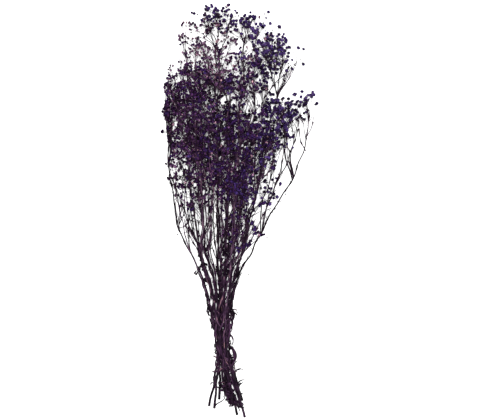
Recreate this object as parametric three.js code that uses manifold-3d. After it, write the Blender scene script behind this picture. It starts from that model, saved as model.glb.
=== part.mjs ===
import * as THREE from "three";
import { mergeVertices } from "three/addons/utils/BufferGeometryUtils.js";
import Module from "manifold-3d";

// A bunch of dried gypsophila, dyed violet, lying on a surface: twelve cut stems held at the waist by an
// elastic band, each one branching over and over into a spray of small florets.
// Millimetres. +Y runs from the cut ends to the crown, +X to the right, +Z up from the surface at z = 0.
// The origin is the middle of the bunch's outline, on that surface.

// Driving dimensions
const STEM_RADIUS = 2.15; // at the cut end
const STEM_SIDES = 5;
const STEM_TAPER = 0.58; // share of that radius left where the stem ends in its last fork
const BRANCH_RADIUS = 0.95; // where a branch leaves a main stem
const PEDICEL_RADIUS = 0.62; // the stalk of one floret
const ROOT_RADIUS = 0.3; // of the root of a branch, inside what it grows from
const FLORET_RADIUS = 5.8; // to a petal's tip
const FLORET_WAIST = 0.58; // share of that radius between two petals
const FLORET_DEPTH = 4.4; // from the neck of the calyx to the petals' tips
const DEEPEST = 0.7; // of the last stretch of an axis, where that is short
const PETALS = 5;
const CLEARANCE = 0.45; // air between one spray and the next
const REST_HEIGHT = 2.6; // middle of a floret that the bunch lies on, so that it is pressed flat underneath

// The tied waist: stems side by side in three rows, each row set half a step from the next
const WAIST = { x: -27.5, y: -212, z: 17.5, halfLength: 14 };
const LANE_PITCH = 4.6;
const ROW_STEP = 0.87; // of a pitch, from one row to the next

// The elastic band round the waist
const BAND = { width: 5.4, thickness: 1.5, groove: 0.8, gap: 0.3, samples: 20, turns: 3 };

// Shrivelled leaves on the lower stems, by their height along the bunch
const LEAF_PLACES = [-284, -262, -240, -168];
const LEAF = {
  length: [13, 25],
  curl: [0.4, 2.6], // how far it turns from root to tip, in radians
  rise: 0.3, // angle that it leaves the stem at, in radians
  sway: 8, // a leaf sits up to this far above its place
  ways: 8, // round the stem, tried in turn until one is clear
  outline: [0.22, 0.92], // its half width follows this stretch of a half wave, from root to tip
  width: 4.8,
  rootWidth: 1.3,
  thickness: 1.1,
  stations: 3,
  touch: 1.3, // room that it keeps round its midrib
};

// Each spray's cut end, its foot where it lies along the surface, its lane through the waist (column, row),
// the joints of its main stem above the waist, and its heads of florets: the joint that a head grows from,
// its middle, its reach along each axis and how many florets it has.
const SPRAYS = [
  {
    name: "spray_crown_left", lane: [-0.5, 0], cut: [-14, -300, 13],
    joints: [[-31, -75, 36], [-34, 32, 50], [-35, 140, 56], [-33, 205, 58], [-31, 243, 58]],
    heads: [
      { joint: 4, at: [-33, 302, 58], reach: [33, 23, 22], florets: 16 },
      { joint: 3, at: [-34, 258, 56], reach: [26, 15, 20], florets: 6 },
      { joint: 1, at: [-32, 216, 60], reach: [24, 16, 20], florets: 4 },
    ],
  },
  {
    name: "spray_crown_right", lane: [1.5, 1], cut: [8, -324, 18],
    joints: [[-8, -78, 49], [-12, 25, 66], [-3, 110, 74], [2, 172, 74], [6, 220, 70]],
    heads: [
      { joint: 4, at: [15, 282, 66], reach: [27, 19, 20], florets: 14 },
      { joint: 3, at: [6, 232, 72], reach: [20, 14, 18], florets: 5 },
      { joint: 1, at: [14, 172, 84], reach: [22, 20, 12], florets: 5 },
    ],
  },
  {
    name: "spray_upper_right", lane: [0.5, -1], cut: [-5, -321, 4],
    joints: [[6, -72, 27], [26, 20, 38], [39, 108, 46], [60, 184, 52]],
    heads: [
      { joint: 3, at: [52, 250, 54], reach: [30, 26, 24], florets: 16 },
      { joint: 3, at: [86, 234, 54], reach: [12, 7, 10], florets: 4 },
      { joint: 1, at: [32, 212, 46], reach: [22, 18, 16], florets: 5 },
    ],
  },
  {
    name: "spray_upper_left", lane: [-1.5, 0], cut: [-22, -291, 12],
    joints: [[-48, -66, 34], [-62, 31, 50], [-69, 122, 58], [-74, 182, 60]],
    heads: [
      { joint: 3, at: [-79, 266, 62], reach: [17, 22, 15], florets: 6 },
      { joint: 2, at: [-66, 240, 62], reach: [18, 16, 16], florets: 5 },
      { joint: 1, at: [-78, 210, 64], reach: [30, 20, 22], florets: 13 },
    ],
  },
  {
    name: "spray_left_outer", lane: [-2.5, 0], cut: [-48, -307, 10],
    joints: [[-45, -168, 19], [-74, -81, 28], [-97, -25, 36], [-112, 68, 42]],
    heads: [
      { joint: 3, at: [-104, 138, 44], reach: [19, 42, 26], florets: 17 },
      { joint: 2, at: [-92, 62, 50], reach: [17, 30, 18], florets: 6 },
    ],
  },
  {
    name: "spray_left_shoulder", lane: [-1.5, 1], cut: [-41, -310, 20],
    joints: [[-60, -70, 46], [-76, 25, 66], [-82, 108, 76]],
    heads: [
      { joint: 2, at: [-90, 180, 78], reach: [30, 32, 22], florets: 17 },
      { joint: 0, at: [-56, 148, 90], reach: [24, 26, 16], florets: 8 },
    ],
  },
  {
    name: "spray_centre", lane: [-1.5, -1], cut: [-33, -297, 1.6], foot: [-33, -276, 1.6],
    joints: [[-33, -72, 19], [-36, 31, 26], [-36, 120, 32]],
    heads: [
      { joint: 2, at: [-42, 186, 34], reach: [42, 30, 20], florets: 15 },
      { joint: 0, at: [-4, 172, 40], reach: [26, 28, 18], florets: 9 },
    ],
  },
  {
    name: "spray_right_arm", lane: [1.5, -1], cut: [4, -299, 1.6], foot: [-1, -278, 1.6],
    joints: [[4, -108, 24], [34, -34, 32], [48, -5, 36], [84, 51, 44], [105, 112, 50]],
    heads: [
      { joint: 4, at: [103, 156, 52], reach: [20, 13, 16], florets: 10 },
      { joint: 3, at: [74, 148, 50], reach: [20, 22, 20], florets: 9 },
      { joint: 1, at: [60, 88, 44], reach: [17, 30, 18], florets: 6 },
    ],
  },
  {
    name: "spray_right_low", lane: [0.5, 0], cut: [3, -307, 12],
    joints: [[2, -84, 40], [16, -10, 56], [28, 40, 66]],
    heads: [
      { joint: 2, at: [48, 96, 72], reach: [24, 44, 22], florets: 16 },
      { joint: 0, at: [28, 138, 86], reach: [26, 26, 16], florets: 8 },
    ],
  },
  {
    name: "spray_front", lane: [0.5, 1], cut: [-10, -303, 23],
    joints: [[-20, -82, 53], [-22, -6, 70], [-18, 34, 80]],
    heads: [
      { joint: 2, at: [-12, 100, 92], reach: [40, 40, 20], florets: 17 },
      { joint: 0, at: [-2, 44, 86], reach: [20, 24, 12], florets: 6 },
    ],
  },
  {
    name: "spray_lower_left", lane: [-0.5, 1], cut: [-18, -296, 22],
    joints: [[-46, -80, 52], [-58, -20, 60], [-64, 18, 66]],
    heads: [
      { joint: 2, at: [-70, 86, 72], reach: [32, 38, 20], florets: 16 },
      { joint: 0, at: [-50, 24, 66], reach: [18, 26, 14], florets: 6 },
    ],
  },
  {
    name: "spray_underside", lane: [-0.5, -1], cut: [-17, -291, 1.6], foot: [-19, -268, 1.6],
    joints: [[-19, -84, 10], [-18, -10, 13], [-18, 24, 14]],
    heads: [
      { joint: 2, at: [-44, 104, 9], reach: [44, 46, 12], florets: 13 },
      { joint: 1, at: [26, 104, 9], reach: [44, 48, 12], florets: 13 },
    ],
  },
];

const DYED_STEM = { color: 0x3a2438, roughness: 0.82, metalness: 0 };
const BAND_RUBBER = { color: 0x2a2028, roughness: 0.7, metalness: 0 };

const wasm = await Module();
wasm.setup();

const TINY = 1e-9; // less than any real difference between two places
const point = ([x, y, z]) => new THREE.Vector3(x, y, z);
const between = (low, high, share) => low + (high - low) * share;

// The mulberry32 generator: numbers from 0 to 1, the same on every run for the same seed.
function seededRandom(seed) {
  let state = seed;
  return () => {
    state = (state + 0x6d2b79f5) | 0;
    let t = Math.imul(state ^ (state >>> 15), state | 1);
    t ^= t + Math.imul(t ^ (t >>> 7), t | 61);
    return ((t ^ (t >>> 14)) >>> 0) / 4294967296;
  };
}

// Smallest distance between two straight pieces a-b and c-d.
function pieceDistance(a, b, c, d) {
  const u = b.clone().sub(a), v = d.clone().sub(c), w = a.clone().sub(c);
  const uu = u.dot(u), vv = v.dot(v), uv = u.dot(v), uw = u.dot(w), vw = v.dot(w);
  const clamp = (x) => Math.min(1, Math.max(0, x));
  const slant = uu * vv - uv * uv;
  let s = slant > TINY ? clamp((uv * vw - vv * uw) / slant) : 0;
  const t = vv > TINY ? clamp((uv * s + vw) / vv) : 0;
  if (uu > TINY) s = clamp((uv * t - uw) / uu);
  return w.addScaledVector(u, s).addScaledVector(v, -t).length();
}

// Everything placed so far, as straight pieces with a radius, so that one spray is bent clear of the others.
const placed = [];

function isClear(line, radius, owner) {
  return placed.every((other) => {
    if (other.owner === owner) return true;
    const needed = radius + other.radius + CLEARANCE;
    for (let i = 0; i + 1 < line.length; i++) {
      if (pieceDistance(line[i], line[i + 1], other.a, other.b) < needed) return false;
    }
    return true;
  });
}

function place(line, radius, owner) {
  for (let i = 0; i + 1 < line.length; i++) {
    placed.push({ a: line[i], b: line[i + 1], radius, owner });
  }
}

// The places to try for a fork or a floret: where it should be, then eight ways round it, each time further
// out.
const COMPASS = [[1, 0], [0.7, 0.7], [0, 1], [-0.7, 0.7], [-1, 0], [-0.7, -0.7], [0, -1], [0.7, -0.7]];
const ASIDE = [2.5, 5, 8, 12];

function triedPlaces(wanted) {
  const places = [wanted];
  for (const step of ASIDE) {
    for (const [x, z] of COMPASS) {
      const rise = Math.max(z * step, REST_HEIGHT - wanted.z);
      places.push(wanted.clone().add(new THREE.Vector3(x * step, 0, rise)));
    }
  }
  return places;
}

// A branch from one fork to the next. It leaves its parent at a wide angle and bends up along it, so the
// middle of a long one stands off the straight line, away from the way the parent runs.
const BOW = 0.075;
const SPAN = 42; // longest straight stretch
const MOST_PIECES = 3;

function branchLine(from, to, heading) {
  const way = to.clone().sub(from);
  const length = way.length();
  const pieces = Math.min(MOST_PIECES, Math.max(1, Math.ceil(length / SPAN)));
  const side = way.clone().addScaledVector(heading, -way.dot(heading));
  const bow = side.length() > TINY ? side.normalize().multiplyScalar(BOW * length) : side.set(0, 0, 0);
  const line = [];
  for (let i = 0; i <= pieces; i++) {
    const t = i / pieces;
    line.push(from.clone().addScaledVector(way, t).addScaledVector(bow, 4 * t * (1 - t)));
  }
  return line;
}

// Florets of one head, spread through an ellipsoid: each is the roomiest of a few random places.
const CANDIDATES = 12;
const tips = [];

function headFlorets(head, random) {
  const own = [];
  for (let i = 0; i < head.florets; i++) {
    let best = null;
    let room = -1;
    for (let c = 0; c < CANDIDATES; c++) {
      const p = new THREE.Vector3();
      do {
        p.set(random() * 2 - 1, random() * 2 - 1, random() * 2 - 1);
      } while (p.dot(p) > 1);
      p.multiply(point(head.reach)).add(point(head.at));
      p.z = Math.max(p.z, REST_HEIGHT);
      const nearest = tips.reduce((least, tip) => Math.min(least, tip.distanceTo(p)), Infinity);
      if (nearest > room) {
        best = p;
        room = nearest;
      }
    }
    tips.push(best);
    own.push(best);
  }
  return own;
}

// Sorts tips into two or three groups by the way they lie from a fork: the two that lie furthest apart, and
// the one furthest from both, each gather the tips nearest to their own way. A few tips are each a group.
const A_FEW = 4;
const ENOUGH_FOR_THREE = 6;

function groupsFrom(fork, members) {
  if (members.length <= A_FEW) return members.map((m) => [m]);
  const ways = members.map((m) => m.clone().sub(fork).normalize());
  const mean = ways.reduce((sum, w) => sum.add(w), new THREE.Vector3()).normalize();
  const furthest = (score) => {
    return ways.reduce((best, w, i) => (score(w) > score(ways[best]) + TINY ? i : best), 0);
  };
  const first = furthest((w) => w.distanceTo(mean));
  const second = furthest((w) => w.distanceTo(ways[first]));
  const seeds = [first, second];
  if (members.length >= ENOUGH_FOR_THREE) {
    seeds.push(furthest((w) => Math.min(w.distanceTo(ways[first]), w.distanceTo(ways[second]))));
  }
  const groups = seeds.map(() => []);
  members.forEach((m, i) => {
    const gaps = seeds.map((s) => ways[i].distanceTo(ways[s]));
    groups[gaps.indexOf(Math.min(...gaps))].push(m);
  });
  return groups.filter((g) => g.length);
}

// Ends an axis in one floret, or leaves its tip bare where there is no clear place for one.
function growFloret(spray, axis, wanted) {
  const from = axis.points[axis.points.length - 1];
  for (const tip of triedPlaces(wanted)) {
    const line = [from, tip];
    if (isClear(line, PEDICEL_RADIUS, spray.name) && isClear([tip, tip], FLORET_RADIUS, spray.name)) {
      place(line, PEDICEL_RADIUS, spray.name);
      place([tip, tip], FLORET_RADIUS, spray.name);
      axis.points.push(tip);
      axis.hasFloret = true;
      return;
    }
  }
}

// Runs an axis on to a fork short of its tips. There it takes the way of the group nearest its own heading,
// and each other group gets an axis of its own, which leaves a little way before the fork. Tips with no
// clear place for their fork are left out.
const STAND_BACK = 1.15; // distance of a fork from the middle of its tips, in spreads of those tips
const FORK_SHARE = [0.34, 0.7]; // least and most of the way to that middle
const STAGGER = 2.4; // between the roots of two side branches
const FIRST_ROOT = 0.6; // of that, from a fork back to the first root

function growAxis(spray, axis, members) {
  if (members.length === 1) {
    growFloret(spray, axis, members[0]);
    return;
  }
  const from = axis.points[axis.points.length - 1];
  const middle = members.reduce((sum, m) => sum.add(m), new THREE.Vector3()).divideScalar(members.length);
  const spread = Math.max(...members.map((m) => m.distanceTo(middle)));
  const wanted = 1 - (STAND_BACK * spread) / middle.distanceTo(from);
  const share = Math.min(FORK_SHARE[1], Math.max(FORK_SHARE[0], wanted));
  for (const fork of triedPlaces(from.clone().lerp(middle, share))) {
    const line = branchLine(from, fork, axis.heading);
    if (!isClear(line, BRANCH_RADIUS, spray.name)) continue;
    place(line, BRANCH_RADIUS, spray.name);
    axis.points.push(...line.slice(1));
    const onward = fork.clone().sub(line[line.length - 2]).normalize();
    const groups = groupsFrom(fork, members).map((group) => {
      const centre = group.reduce((sum, m) => sum.add(m), new THREE.Vector3()).divideScalar(group.length);
      return { group, along: centre.sub(fork).normalize().dot(onward) };
    });
    groups.sort((a, b) => b.along - a.along);
    groups.slice(1).forEach(({ group }, i) => {
      const root = fork.clone().addScaledVector(onward, -STAGGER * (i + FIRST_ROOT));
      growAxis(spray, startAxis(spray, root, onward), group);
    });
    axis.heading = onward;
    growAxis(spray, axis, groups[0].group);
    return;
  }
}

function startAxis(spray, from, heading) {
  const axis = { points: [from], heading, hasFloret: false };
  spray.axes.push(axis);
  return axis;
}

// Where a stem passes the middle of the waist: the middle row sits half a step aside of the other two.
function waistPoint({ lane: [column, row] }) {
  const x = WAIST.x + (column + (row === 0 ? 0.5 : 0)) * LANE_PITCH;
  return new THREE.Vector3(x, WAIST.y, WAIST.z + row * ROW_STEP * LANE_PITCH);
}

// The line of a main stem: cut end, the straight run through the waist, then each joint.
function stemLine({ lane, cut, foot, joints }) {
  const along = new THREE.Vector3(0, WAIST.halfLength, 0);
  const low = waistPoint({ lane }).sub(along);
  const high = waistPoint({ lane }).add(along);
  return [point(cut), ...(foot ? [point(foot)] : []), low, high, ...joints.map(point)];
}

function stemRadii(line) {
  const along = [0];
  for (let i = 1; i < line.length; i++) along.push(along[i - 1] + line[i].distanceTo(line[i - 1]));
  return along.map((a) => STEM_RADIUS * between(1, STEM_TAPER, a / along[along.length - 1]));
}

// The point of a stem at one height along the bunch, and the way it runs there.
function stemAt(line, y) {
  const i = Math.max(0, line.findIndex((p, n) => n + 1 < line.length && line[n + 1].y >= y));
  const share = (y - line[i].y) / (line[i + 1].y - line[i].y);
  const heading = line[i + 1].clone().sub(line[i]).normalize();
  return { at: line[i].clone().lerp(line[i + 1], share), heading };
}

// The midrib of a shrivelled leaf: it leaves the stem outwards and curls round towards the cut ends.
function leafLine(at, heading, aside, length, curl) {
  const line = [at.clone()];
  const step = length / LEAF.stations;
  for (let i = 0; i < LEAF.stations; i++) {
    const turn = LEAF.rise + (curl * (i + 0.5)) / LEAF.stations;
    const way = heading.clone().multiplyScalar(Math.cos(turn)).addScaledVector(aside, Math.sin(turn));
    line.push(line[i].clone().addScaledVector(way, step));
  }
  return line;
}

function growLeaves(spray, random) {
  for (const height of LEAF_PLACES) {
    const wantedTurn = random() * Math.PI * 2;
    const length = between(...LEAF.length, random());
    const curl = between(...LEAF.curl, random());
    if (height < spray.line[0].y + LEAF.sway) continue;
    const { at, heading } = stemAt(spray.line, height + random() * LEAF.sway);
    const right = new THREE.Vector3().crossVectors(heading, new THREE.Vector3(0, 0, 1)).normalize();
    const up = new THREE.Vector3().crossVectors(right, heading);
    for (let k = 0; k < LEAF.ways; k++) {
      const turn = wantedTurn + (k * 2 * Math.PI) / LEAF.ways;
      const aside = right.clone().multiplyScalar(Math.cos(turn)).addScaledVector(up, Math.sin(turn));
      const across = new THREE.Vector3().crossVectors(heading, aside).normalize();
      const line = leafLine(at, heading, aside, length, curl);
      const lowest = Math.min(...line.slice(1).map((p) => p.z));
      if (lowest > LEAF.touch + 1 && isClear(line, LEAF.touch, spray.name)) {
        place(line, LEAF.touch, spray.name);
        spray.leaves.push({ line, across });
        break;
      }
    }
  }
}

// Grows every stem first, so that they keep their lanes, then the sprays' branches and the leaves.
const HEAD_SEED = 1000; // times a spray's place in the list, plus the head's
const LEAF_SEED = 77000; // plus the spray's place

function growBunch() {
  const sprays = SPRAYS.map((s) => ({ ...s, line: stemLine(s), axes: [], leaves: [] }));
  for (const s of sprays) place(s.line, STEM_RADIUS, s.name);
  const heads = sprays.map((s, i) => {
    return s.heads.map((head, n) => headFlorets(head, seededRandom(HEAD_SEED * (i + 1) + n)));
  });
  sprays.forEach((s, i) => {
    const first = s.line.length - s.joints.length;
    const rooted = s.joints.map(() => 0);
    s.heads.forEach((head, n) => {
      const joint = s.line[first + head.joint];
      const heading = joint.clone().sub(s.line[first + head.joint - 1]).normalize();
      for (const group of groupsFrom(joint, heads[i][n])) {
        const back = STAGGER * (rooted[head.joint] + FIRST_ROOT);
        growAxis(s, startAxis(s, joint.clone().addScaledVector(heading, -back), heading), group);
        rooted[head.joint] += 1;
      }
    });
    s.axes = s.axes.filter(({ points }) => points.length > 1);
  });
  sprays.forEach((s, i) => growLeaves(s, seededRandom(LEAF_SEED + i)));
  return sprays;
}

// A closed surface from corner points and triangles.
function closedSurface(points, triangles) {
  const geometry = new THREE.BufferGeometry().setFromPoints(points);
  geometry.setIndex(triangles.flat());
  return geometry;
}

// Two directions across a line at each of its points, carried along it without twisting.
const STEEP = 0.9; // a line that climbs by more than this share of its length

function crossFrames(line) {
  const ways = line.map((p, i) => {
    const before = line[Math.max(0, i - 1)], after = line[Math.min(line.length - 1, i + 1)];
    return after.clone().sub(before).normalize();
  });
  const start = Math.abs(ways[0].z) < STEEP ? new THREE.Vector3(0, 0, 1) : new THREE.Vector3(1, 0, 0);
  let right = new THREE.Vector3().crossVectors(ways[0], start).normalize();
  return ways.map((way) => {
    right = right.clone().addScaledVector(way, -right.dot(way)).normalize();
    return { way, right, up: new THREE.Vector3().crossVectors(right, way) };
  });
}

// Rings of corners along a line, the first corner of each turned by `turn` from its frame's right.
function ringsAlong(line, radii, sides, turn) {
  return crossFrames(line).map(({ right, up }, i) => {
    const ring = [];
    for (let k = 0; k < sides; k++) {
      const angle = turn + (k * 2 * Math.PI) / sides;
      ring.push(
        line[i].clone()
          .addScaledVector(right, radii[i] * Math.cos(angle))
          .addScaledVector(up, radii[i] * Math.sin(angle)),
      );
    }
    return ring;
  });
}

// Triangles of the walls between rings of equal size, and of the flat cap on the first ring.
function wallTriangles(rings, sides) {
  const triangles = [];
  for (let k = 1; k + 1 < sides; k++) triangles.push([0, k, k + 1]);
  for (let i = 0; i + 1 < rings; i++) {
    for (let k = 0; k < sides; k++) {
      const a = i * sides + k, b = i * sides + ((k + 1) % sides);
      triangles.push([a, a + sides, b], [b, a + sides, b + sides]);
    }
  }
  return triangles;
}

// The same with a flat cap on the last ring too.
function closedTriangles(rings, sides) {
  const triangles = wallTriangles(rings, sides);
  const last = (rings - 1) * sides;
  for (let k = 1; k + 1 < sides; k++) triangles.push([last, last + k + 1, last + k]);
  return triangles;
}

// A closed tapering tube along a line.
function taperedTube(line, radii, sides, turn) {
  return closedSurface(ringsAlong(line, radii, sides, turn).flat(), closedTriangles(line.length, sides));
}

// One axis from its root to its floret, in one surface: a three-sided stalk that runs on through its forks
// and narrows to the pedicel, widens into the calyx, and ends in a star of petals.
function axisSurface({ points: line, hasFloret }, turn) {
  const count = line.length;
  const radii = line.map((p, i) => between(BRANCH_RADIUS, PEDICEL_RADIUS, (i + 1) / count));
  radii[0] = ROOT_RADIUS;
  if (!hasFloret) return taperedTube(line, radii, 3, turn);
  const tip = line[count - 1];
  const depth = Math.min(FLORET_DEPTH, DEEPEST * tip.distanceTo(line[count - 2]));
  const way = tip.clone().sub(line[count - 2]).normalize();
  const neck = tip.clone().addScaledVector(way, -depth);
  const stalk = [...line.slice(0, -1), neck];
  const rim = 2 * PETALS;
  const petalRadii = Array.from({ length: rim }, (_, k) => FLORET_RADIUS * (k % 2 ? FLORET_WAIST : 1));
  const { right, up } = crossFrames(stalk)[count - 1];
  const star = petalRadii.map((radius, k) => {
    const angle = turn + (k * 2 * Math.PI) / rim;
    return tip.clone()
      .addScaledVector(right, radius * Math.cos(angle))
      .addScaledVector(up, radius * Math.sin(angle));
  });
  const corners = [...ringsAlong(stalk, radii, 3, turn).flat(), ...star];
  const triangles = wallTriangles(count, 3);
  // The neck's three corners reach to the rim's ten: each rim edge meets the neck corner nearest to it.
  const neckAt = 3 * (count - 1), rimAt = 3 * count;
  const nearest = (k) => Math.floor(((k + 0.5) * 3) / rim + 0.5) % 3;
  const rimCorner = (k) => rimAt + ((k + rim) % rim);
  for (let k = 0; k < rim; k++) {
    triangles.push([neckAt + nearest(k), rimCorner(k), rimCorner(k + 1)]);
    if (nearest(k) !== nearest(k + 1)) {
      triangles.push([neckAt + nearest(k), rimCorner(k + 1), neckAt + nearest((k + 1) % rim)]);
    }
    if (k % 2 === 0) triangles.push([rimCorner(k - 1), rimCorner(k + 1), rimCorner(k)]);
  }
  // The five corners between the petals close the star's middle.
  for (let k = 3; k + 2 < rim; k += 2) triangles.push([rimCorner(1), rimCorner(k + 2), rimCorner(k)]);
  return closedSurface(corners, triangles);
}

// A leaf: a thin keeled blade along its midrib, widest a third of the way out.
function leafSurface({ line, across }) {
  const frames = crossFrames(line);
  const points = [];
  line.forEach((p, i) => {
    const s = i / (line.length - 1);
    const blade = LEAF.width * Math.sin(Math.PI * between(...LEAF.outline, s));
    const half = (s === 0 ? LEAF.rootWidth : blade) / 2;
    const over = new THREE.Vector3().crossVectors(across, frames[i].way);
    points.push(
      p.clone().addScaledVector(across, half).addScaledVector(over, LEAF.thickness / 2),
      p.clone().addScaledVector(across, -half).addScaledVector(over, LEAF.thickness / 2),
      p.clone().addScaledVector(over, -LEAF.thickness / 2),
    );
  });
  return closedSurface(points, closedTriangles(line.length, 3));
}

// The elastic band: a flat ring of three turns, stretched round the outermost stems of the waist. At each
// angle it lies against the stem that reaches furthest that way.
function bandSurface(centres) {
  const across = BAND.width / BAND.turns;
  const section = [[-BAND.width / 2, 0]];
  for (let turn = 0; turn < BAND.turns; turn++) {
    if (turn) section.push([-BAND.width / 2 + turn * across, BAND.groove]);
    section.push([-BAND.width / 2 + (turn + 0.5) * across, BAND.thickness]);
  }
  section.push([BAND.width / 2, 0]);
  const points = [];
  for (let i = 0; i < BAND.samples; i++) {
    const angle = (i * 2 * Math.PI) / BAND.samples;
    const out = new THREE.Vector3(Math.cos(angle), 0, Math.sin(angle));
    const furthest = centres.reduce((best, c) => (c.dot(out) > best.dot(out) ? c : best));
    for (const [along, rise] of section) {
      const offset = STEM_RADIUS + BAND.gap + rise;
      points.push(new THREE.Vector3(furthest.x, WAIST.y + along, furthest.z).addScaledVector(out, offset));
    }
  }
  const triangles = [];
  const n = section.length;
  for (let i = 0; i < BAND.samples; i++) {
    for (let k = 0; k < n; k++) {
      const next = ((i + 1) % BAND.samples) * n;
      const a = i * n + k, b = i * n + ((k + 1) % n), c = next + k, d = next + ((k + 1) % n);
      triangles.push([a, b, c], [b, d, c]);
    }
  }
  return closedSurface(points, triangles);
}

// A surface with only its corners' places, and with corners on the same place made one.
const WELD = 1e-3; // corners closer than this are one corner

function welded(geometry) {
  return mergeVertices(geometry.clone().deleteAttribute("normal").deleteAttribute("uv"), WELD);
}

function solidOf(geometry) {
  const merged = welded(geometry);
  return new wasm.Manifold(
    new wasm.Mesh({
      numProp: 3,
      vertProperties: merged.attributes.position.array,
      triVerts: new Uint32Array(merged.index.array),
    }),
  );
}

// A solid's surface, with each corner set on a grid of the weld's size, so that no two lie closer than it.
function geometryOf(solid) {
  const { vertProperties, triVerts, numProp } = solid.getMesh();
  const corners = new THREE.InterleavedBuffer(vertProperties, numProp);
  const positions = Float32Array.from({ length: corners.count * 3 }, (_, i) => {
    return Math.round(corners.array[Math.floor(i / 3) * numProp + (i % 3)] / WELD) * WELD;
  });
  const geometry = new THREE.BufferGeometry();
  geometry.setAttribute("position", new THREE.BufferAttribute(positions, 3));
  geometry.setIndex(new THREE.BufferAttribute(new Uint32Array(triVerts), 1));
  geometry.computeVertexNormals();
  return geometry;
}

// What lies below the surface is pressed flat: a block under it is taken away.
const GROUND = { size: 900, depth: 40 };

function groundBlock() {
  const block = new THREE.BoxGeometry(GROUND.size, GROUND.size, GROUND.depth);
  block.translate(0, 0, -GROUND.depth / 2);
  return solidOf(block);
}

// The largest body of a solid, without the loose scraps and the sealed hollows that joining leaves.
function largestBody(solid) {
  return solid.decompose().reduce((best, body) => (body.volume() > best.volume() ? body : best));
}

// The middles of the edges of a surface that belong to more than two faces.
function sharedEdges(geometry) {
  const { index, attributes } = welded(geometry);
  const corner = (i) => new THREE.Vector3().fromBufferAttribute(attributes.position, i);
  const faces = new Map();
  for (let i = 0; i < index.count; i++) {
    const ends = [index.getX(i), index.getX(i % 3 === 2 ? i - 2 : i + 1)].sort((a, b) => a - b);
    const edge = faces.get(ends.join()) ?? { ends, count: 0 };
    edge.count += 1;
    faces.set(ends.join(), edge);
  }
  const shared = [...faces.values()].filter(({ count }) => count !== 2);
  return shared.map(({ ends }) => corner(ends[0]).lerp(corner(ends[1]), 0.5));
}

// Joins everything that grows on one stem, and presses it flat on the surface. Where stalks meet so that
// more than two faces share an edge, they are turned a little about their own lines and joined again.
const SLIVER = 0.1; // faces thinner than this are taken up by their neighbours
const TURN_STEP = 0.17;
const MOST_TURNS = 30;
const NEAR = 3; // a stalk this close to a shared edge is turned

function sprayGeometry(spray, ground) {
  const stem = taperedTube(spray.line, stemRadii(spray.line), STEM_SIDES, 0);
  const fixed = [stem, ...spray.leaves.map(leafSurface)];
  const turns = spray.axes.map(() => 0);
  for (let tries = 0; tries < MOST_TURNS; tries++) {
    const pieces = [...fixed, ...spray.axes.map((axis, i) => axisSurface(axis, turns[i]))];
    const joined = largestBody(wasm.Manifold.union(pieces.map(solidOf)).subtract(ground));
    const geometry = geometryOf(largestBody(solidOf(geometryOf(joined.simplify(SLIVER)))));
    const faults = sharedEdges(geometry);
    if (!faults.length) return geometry;
    spray.axes.forEach(({ points }, i) => {
      const isNear = (p) => points.some((a, n) => n && pieceDistance(p, p, points[n - 1], a) < NEAR);
      if (faults.some(isNear)) turns[i] += TURN_STEP * (1 + (i % 3));
    });
  }
  throw new Error(spray.name + " can't be joined into one plain surface");
}

function part(name, geometry, finish) {
  const mesh = new THREE.Mesh(geometry, new THREE.MeshStandardMaterial(finish));
  mesh.name = name;
  return mesh;
}

const bunch = new THREE.Group();
const ground = groundBlock();
const sprays = growBunch();
for (const spray of sprays) {
  bunch.add(part(spray.name, sprayGeometry(spray, ground), DYED_STEM));
}
bunch.add(part("elastic_band", bandSurface(SPRAYS.map(waistPoint)), BAND_RUBBER));

// The bunch is grown a little off its origin, and moved so that its outline is centred there.
const middle = new THREE.Box3().setFromObject(bunch).getCenter(new THREE.Vector3());
bunch.position.set(-Math.round(middle.x * 10) / 10, -Math.round(middle.y * 10) / 10, 0);

export default bunch;
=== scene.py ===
# A bunch of dried gypsophila, dyed violet. It lies on a pale floor, and the camera looks straight down on
# it. The stems, their branches and the places of the florets are grown by the rule, and from the seeds, of
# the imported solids, so each finer piece lies where its solid is. Growth is worked out in millimetres, +Y
# towards the crown and +Z up from the floor, and a mesh is in metres.
import math

import bpy
import numpy as np
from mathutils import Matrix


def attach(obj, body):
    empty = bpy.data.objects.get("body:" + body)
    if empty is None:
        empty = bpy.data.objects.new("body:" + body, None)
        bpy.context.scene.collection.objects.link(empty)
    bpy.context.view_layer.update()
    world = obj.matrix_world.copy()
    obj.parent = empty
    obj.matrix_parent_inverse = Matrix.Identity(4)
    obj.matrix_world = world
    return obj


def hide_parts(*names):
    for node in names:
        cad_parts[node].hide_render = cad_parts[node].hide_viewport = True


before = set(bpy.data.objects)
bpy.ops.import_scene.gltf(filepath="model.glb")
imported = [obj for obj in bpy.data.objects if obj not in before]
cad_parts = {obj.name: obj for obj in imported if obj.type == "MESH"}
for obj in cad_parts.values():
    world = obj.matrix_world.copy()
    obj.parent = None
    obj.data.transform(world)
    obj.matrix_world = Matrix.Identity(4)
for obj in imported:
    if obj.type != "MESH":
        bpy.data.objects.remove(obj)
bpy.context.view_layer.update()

MM = 0.001

# Driving dimensions of the grown lines, the same as the solids'
STEM_RADIUS = 2.15
BRANCH_RADIUS = 0.95
PEDICEL_RADIUS = 0.62
FLORET_RADIUS = 5.8
CLEARANCE = 0.45
REST_HEIGHT = 2.6
WAIST = {"x": -27.5, "y": -212, "z": 17.5, "half_length": 14}
LANE_PITCH = 4.6
ROW_STEP = 0.87
OUTLINE_SHIFT = np.array([-0.2, 2.2, 0.0])  # from the growth's own origin to the middle of the outline

LEAF_PLACES = [-284, -262, -240, -168]
LEAF = {
    "length": (13, 25), "curl": (0.4, 2.6), "rise": 0.3, "sway": 8, "ways": 8, "stations": 3, "touch": 1.3,
}

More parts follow.
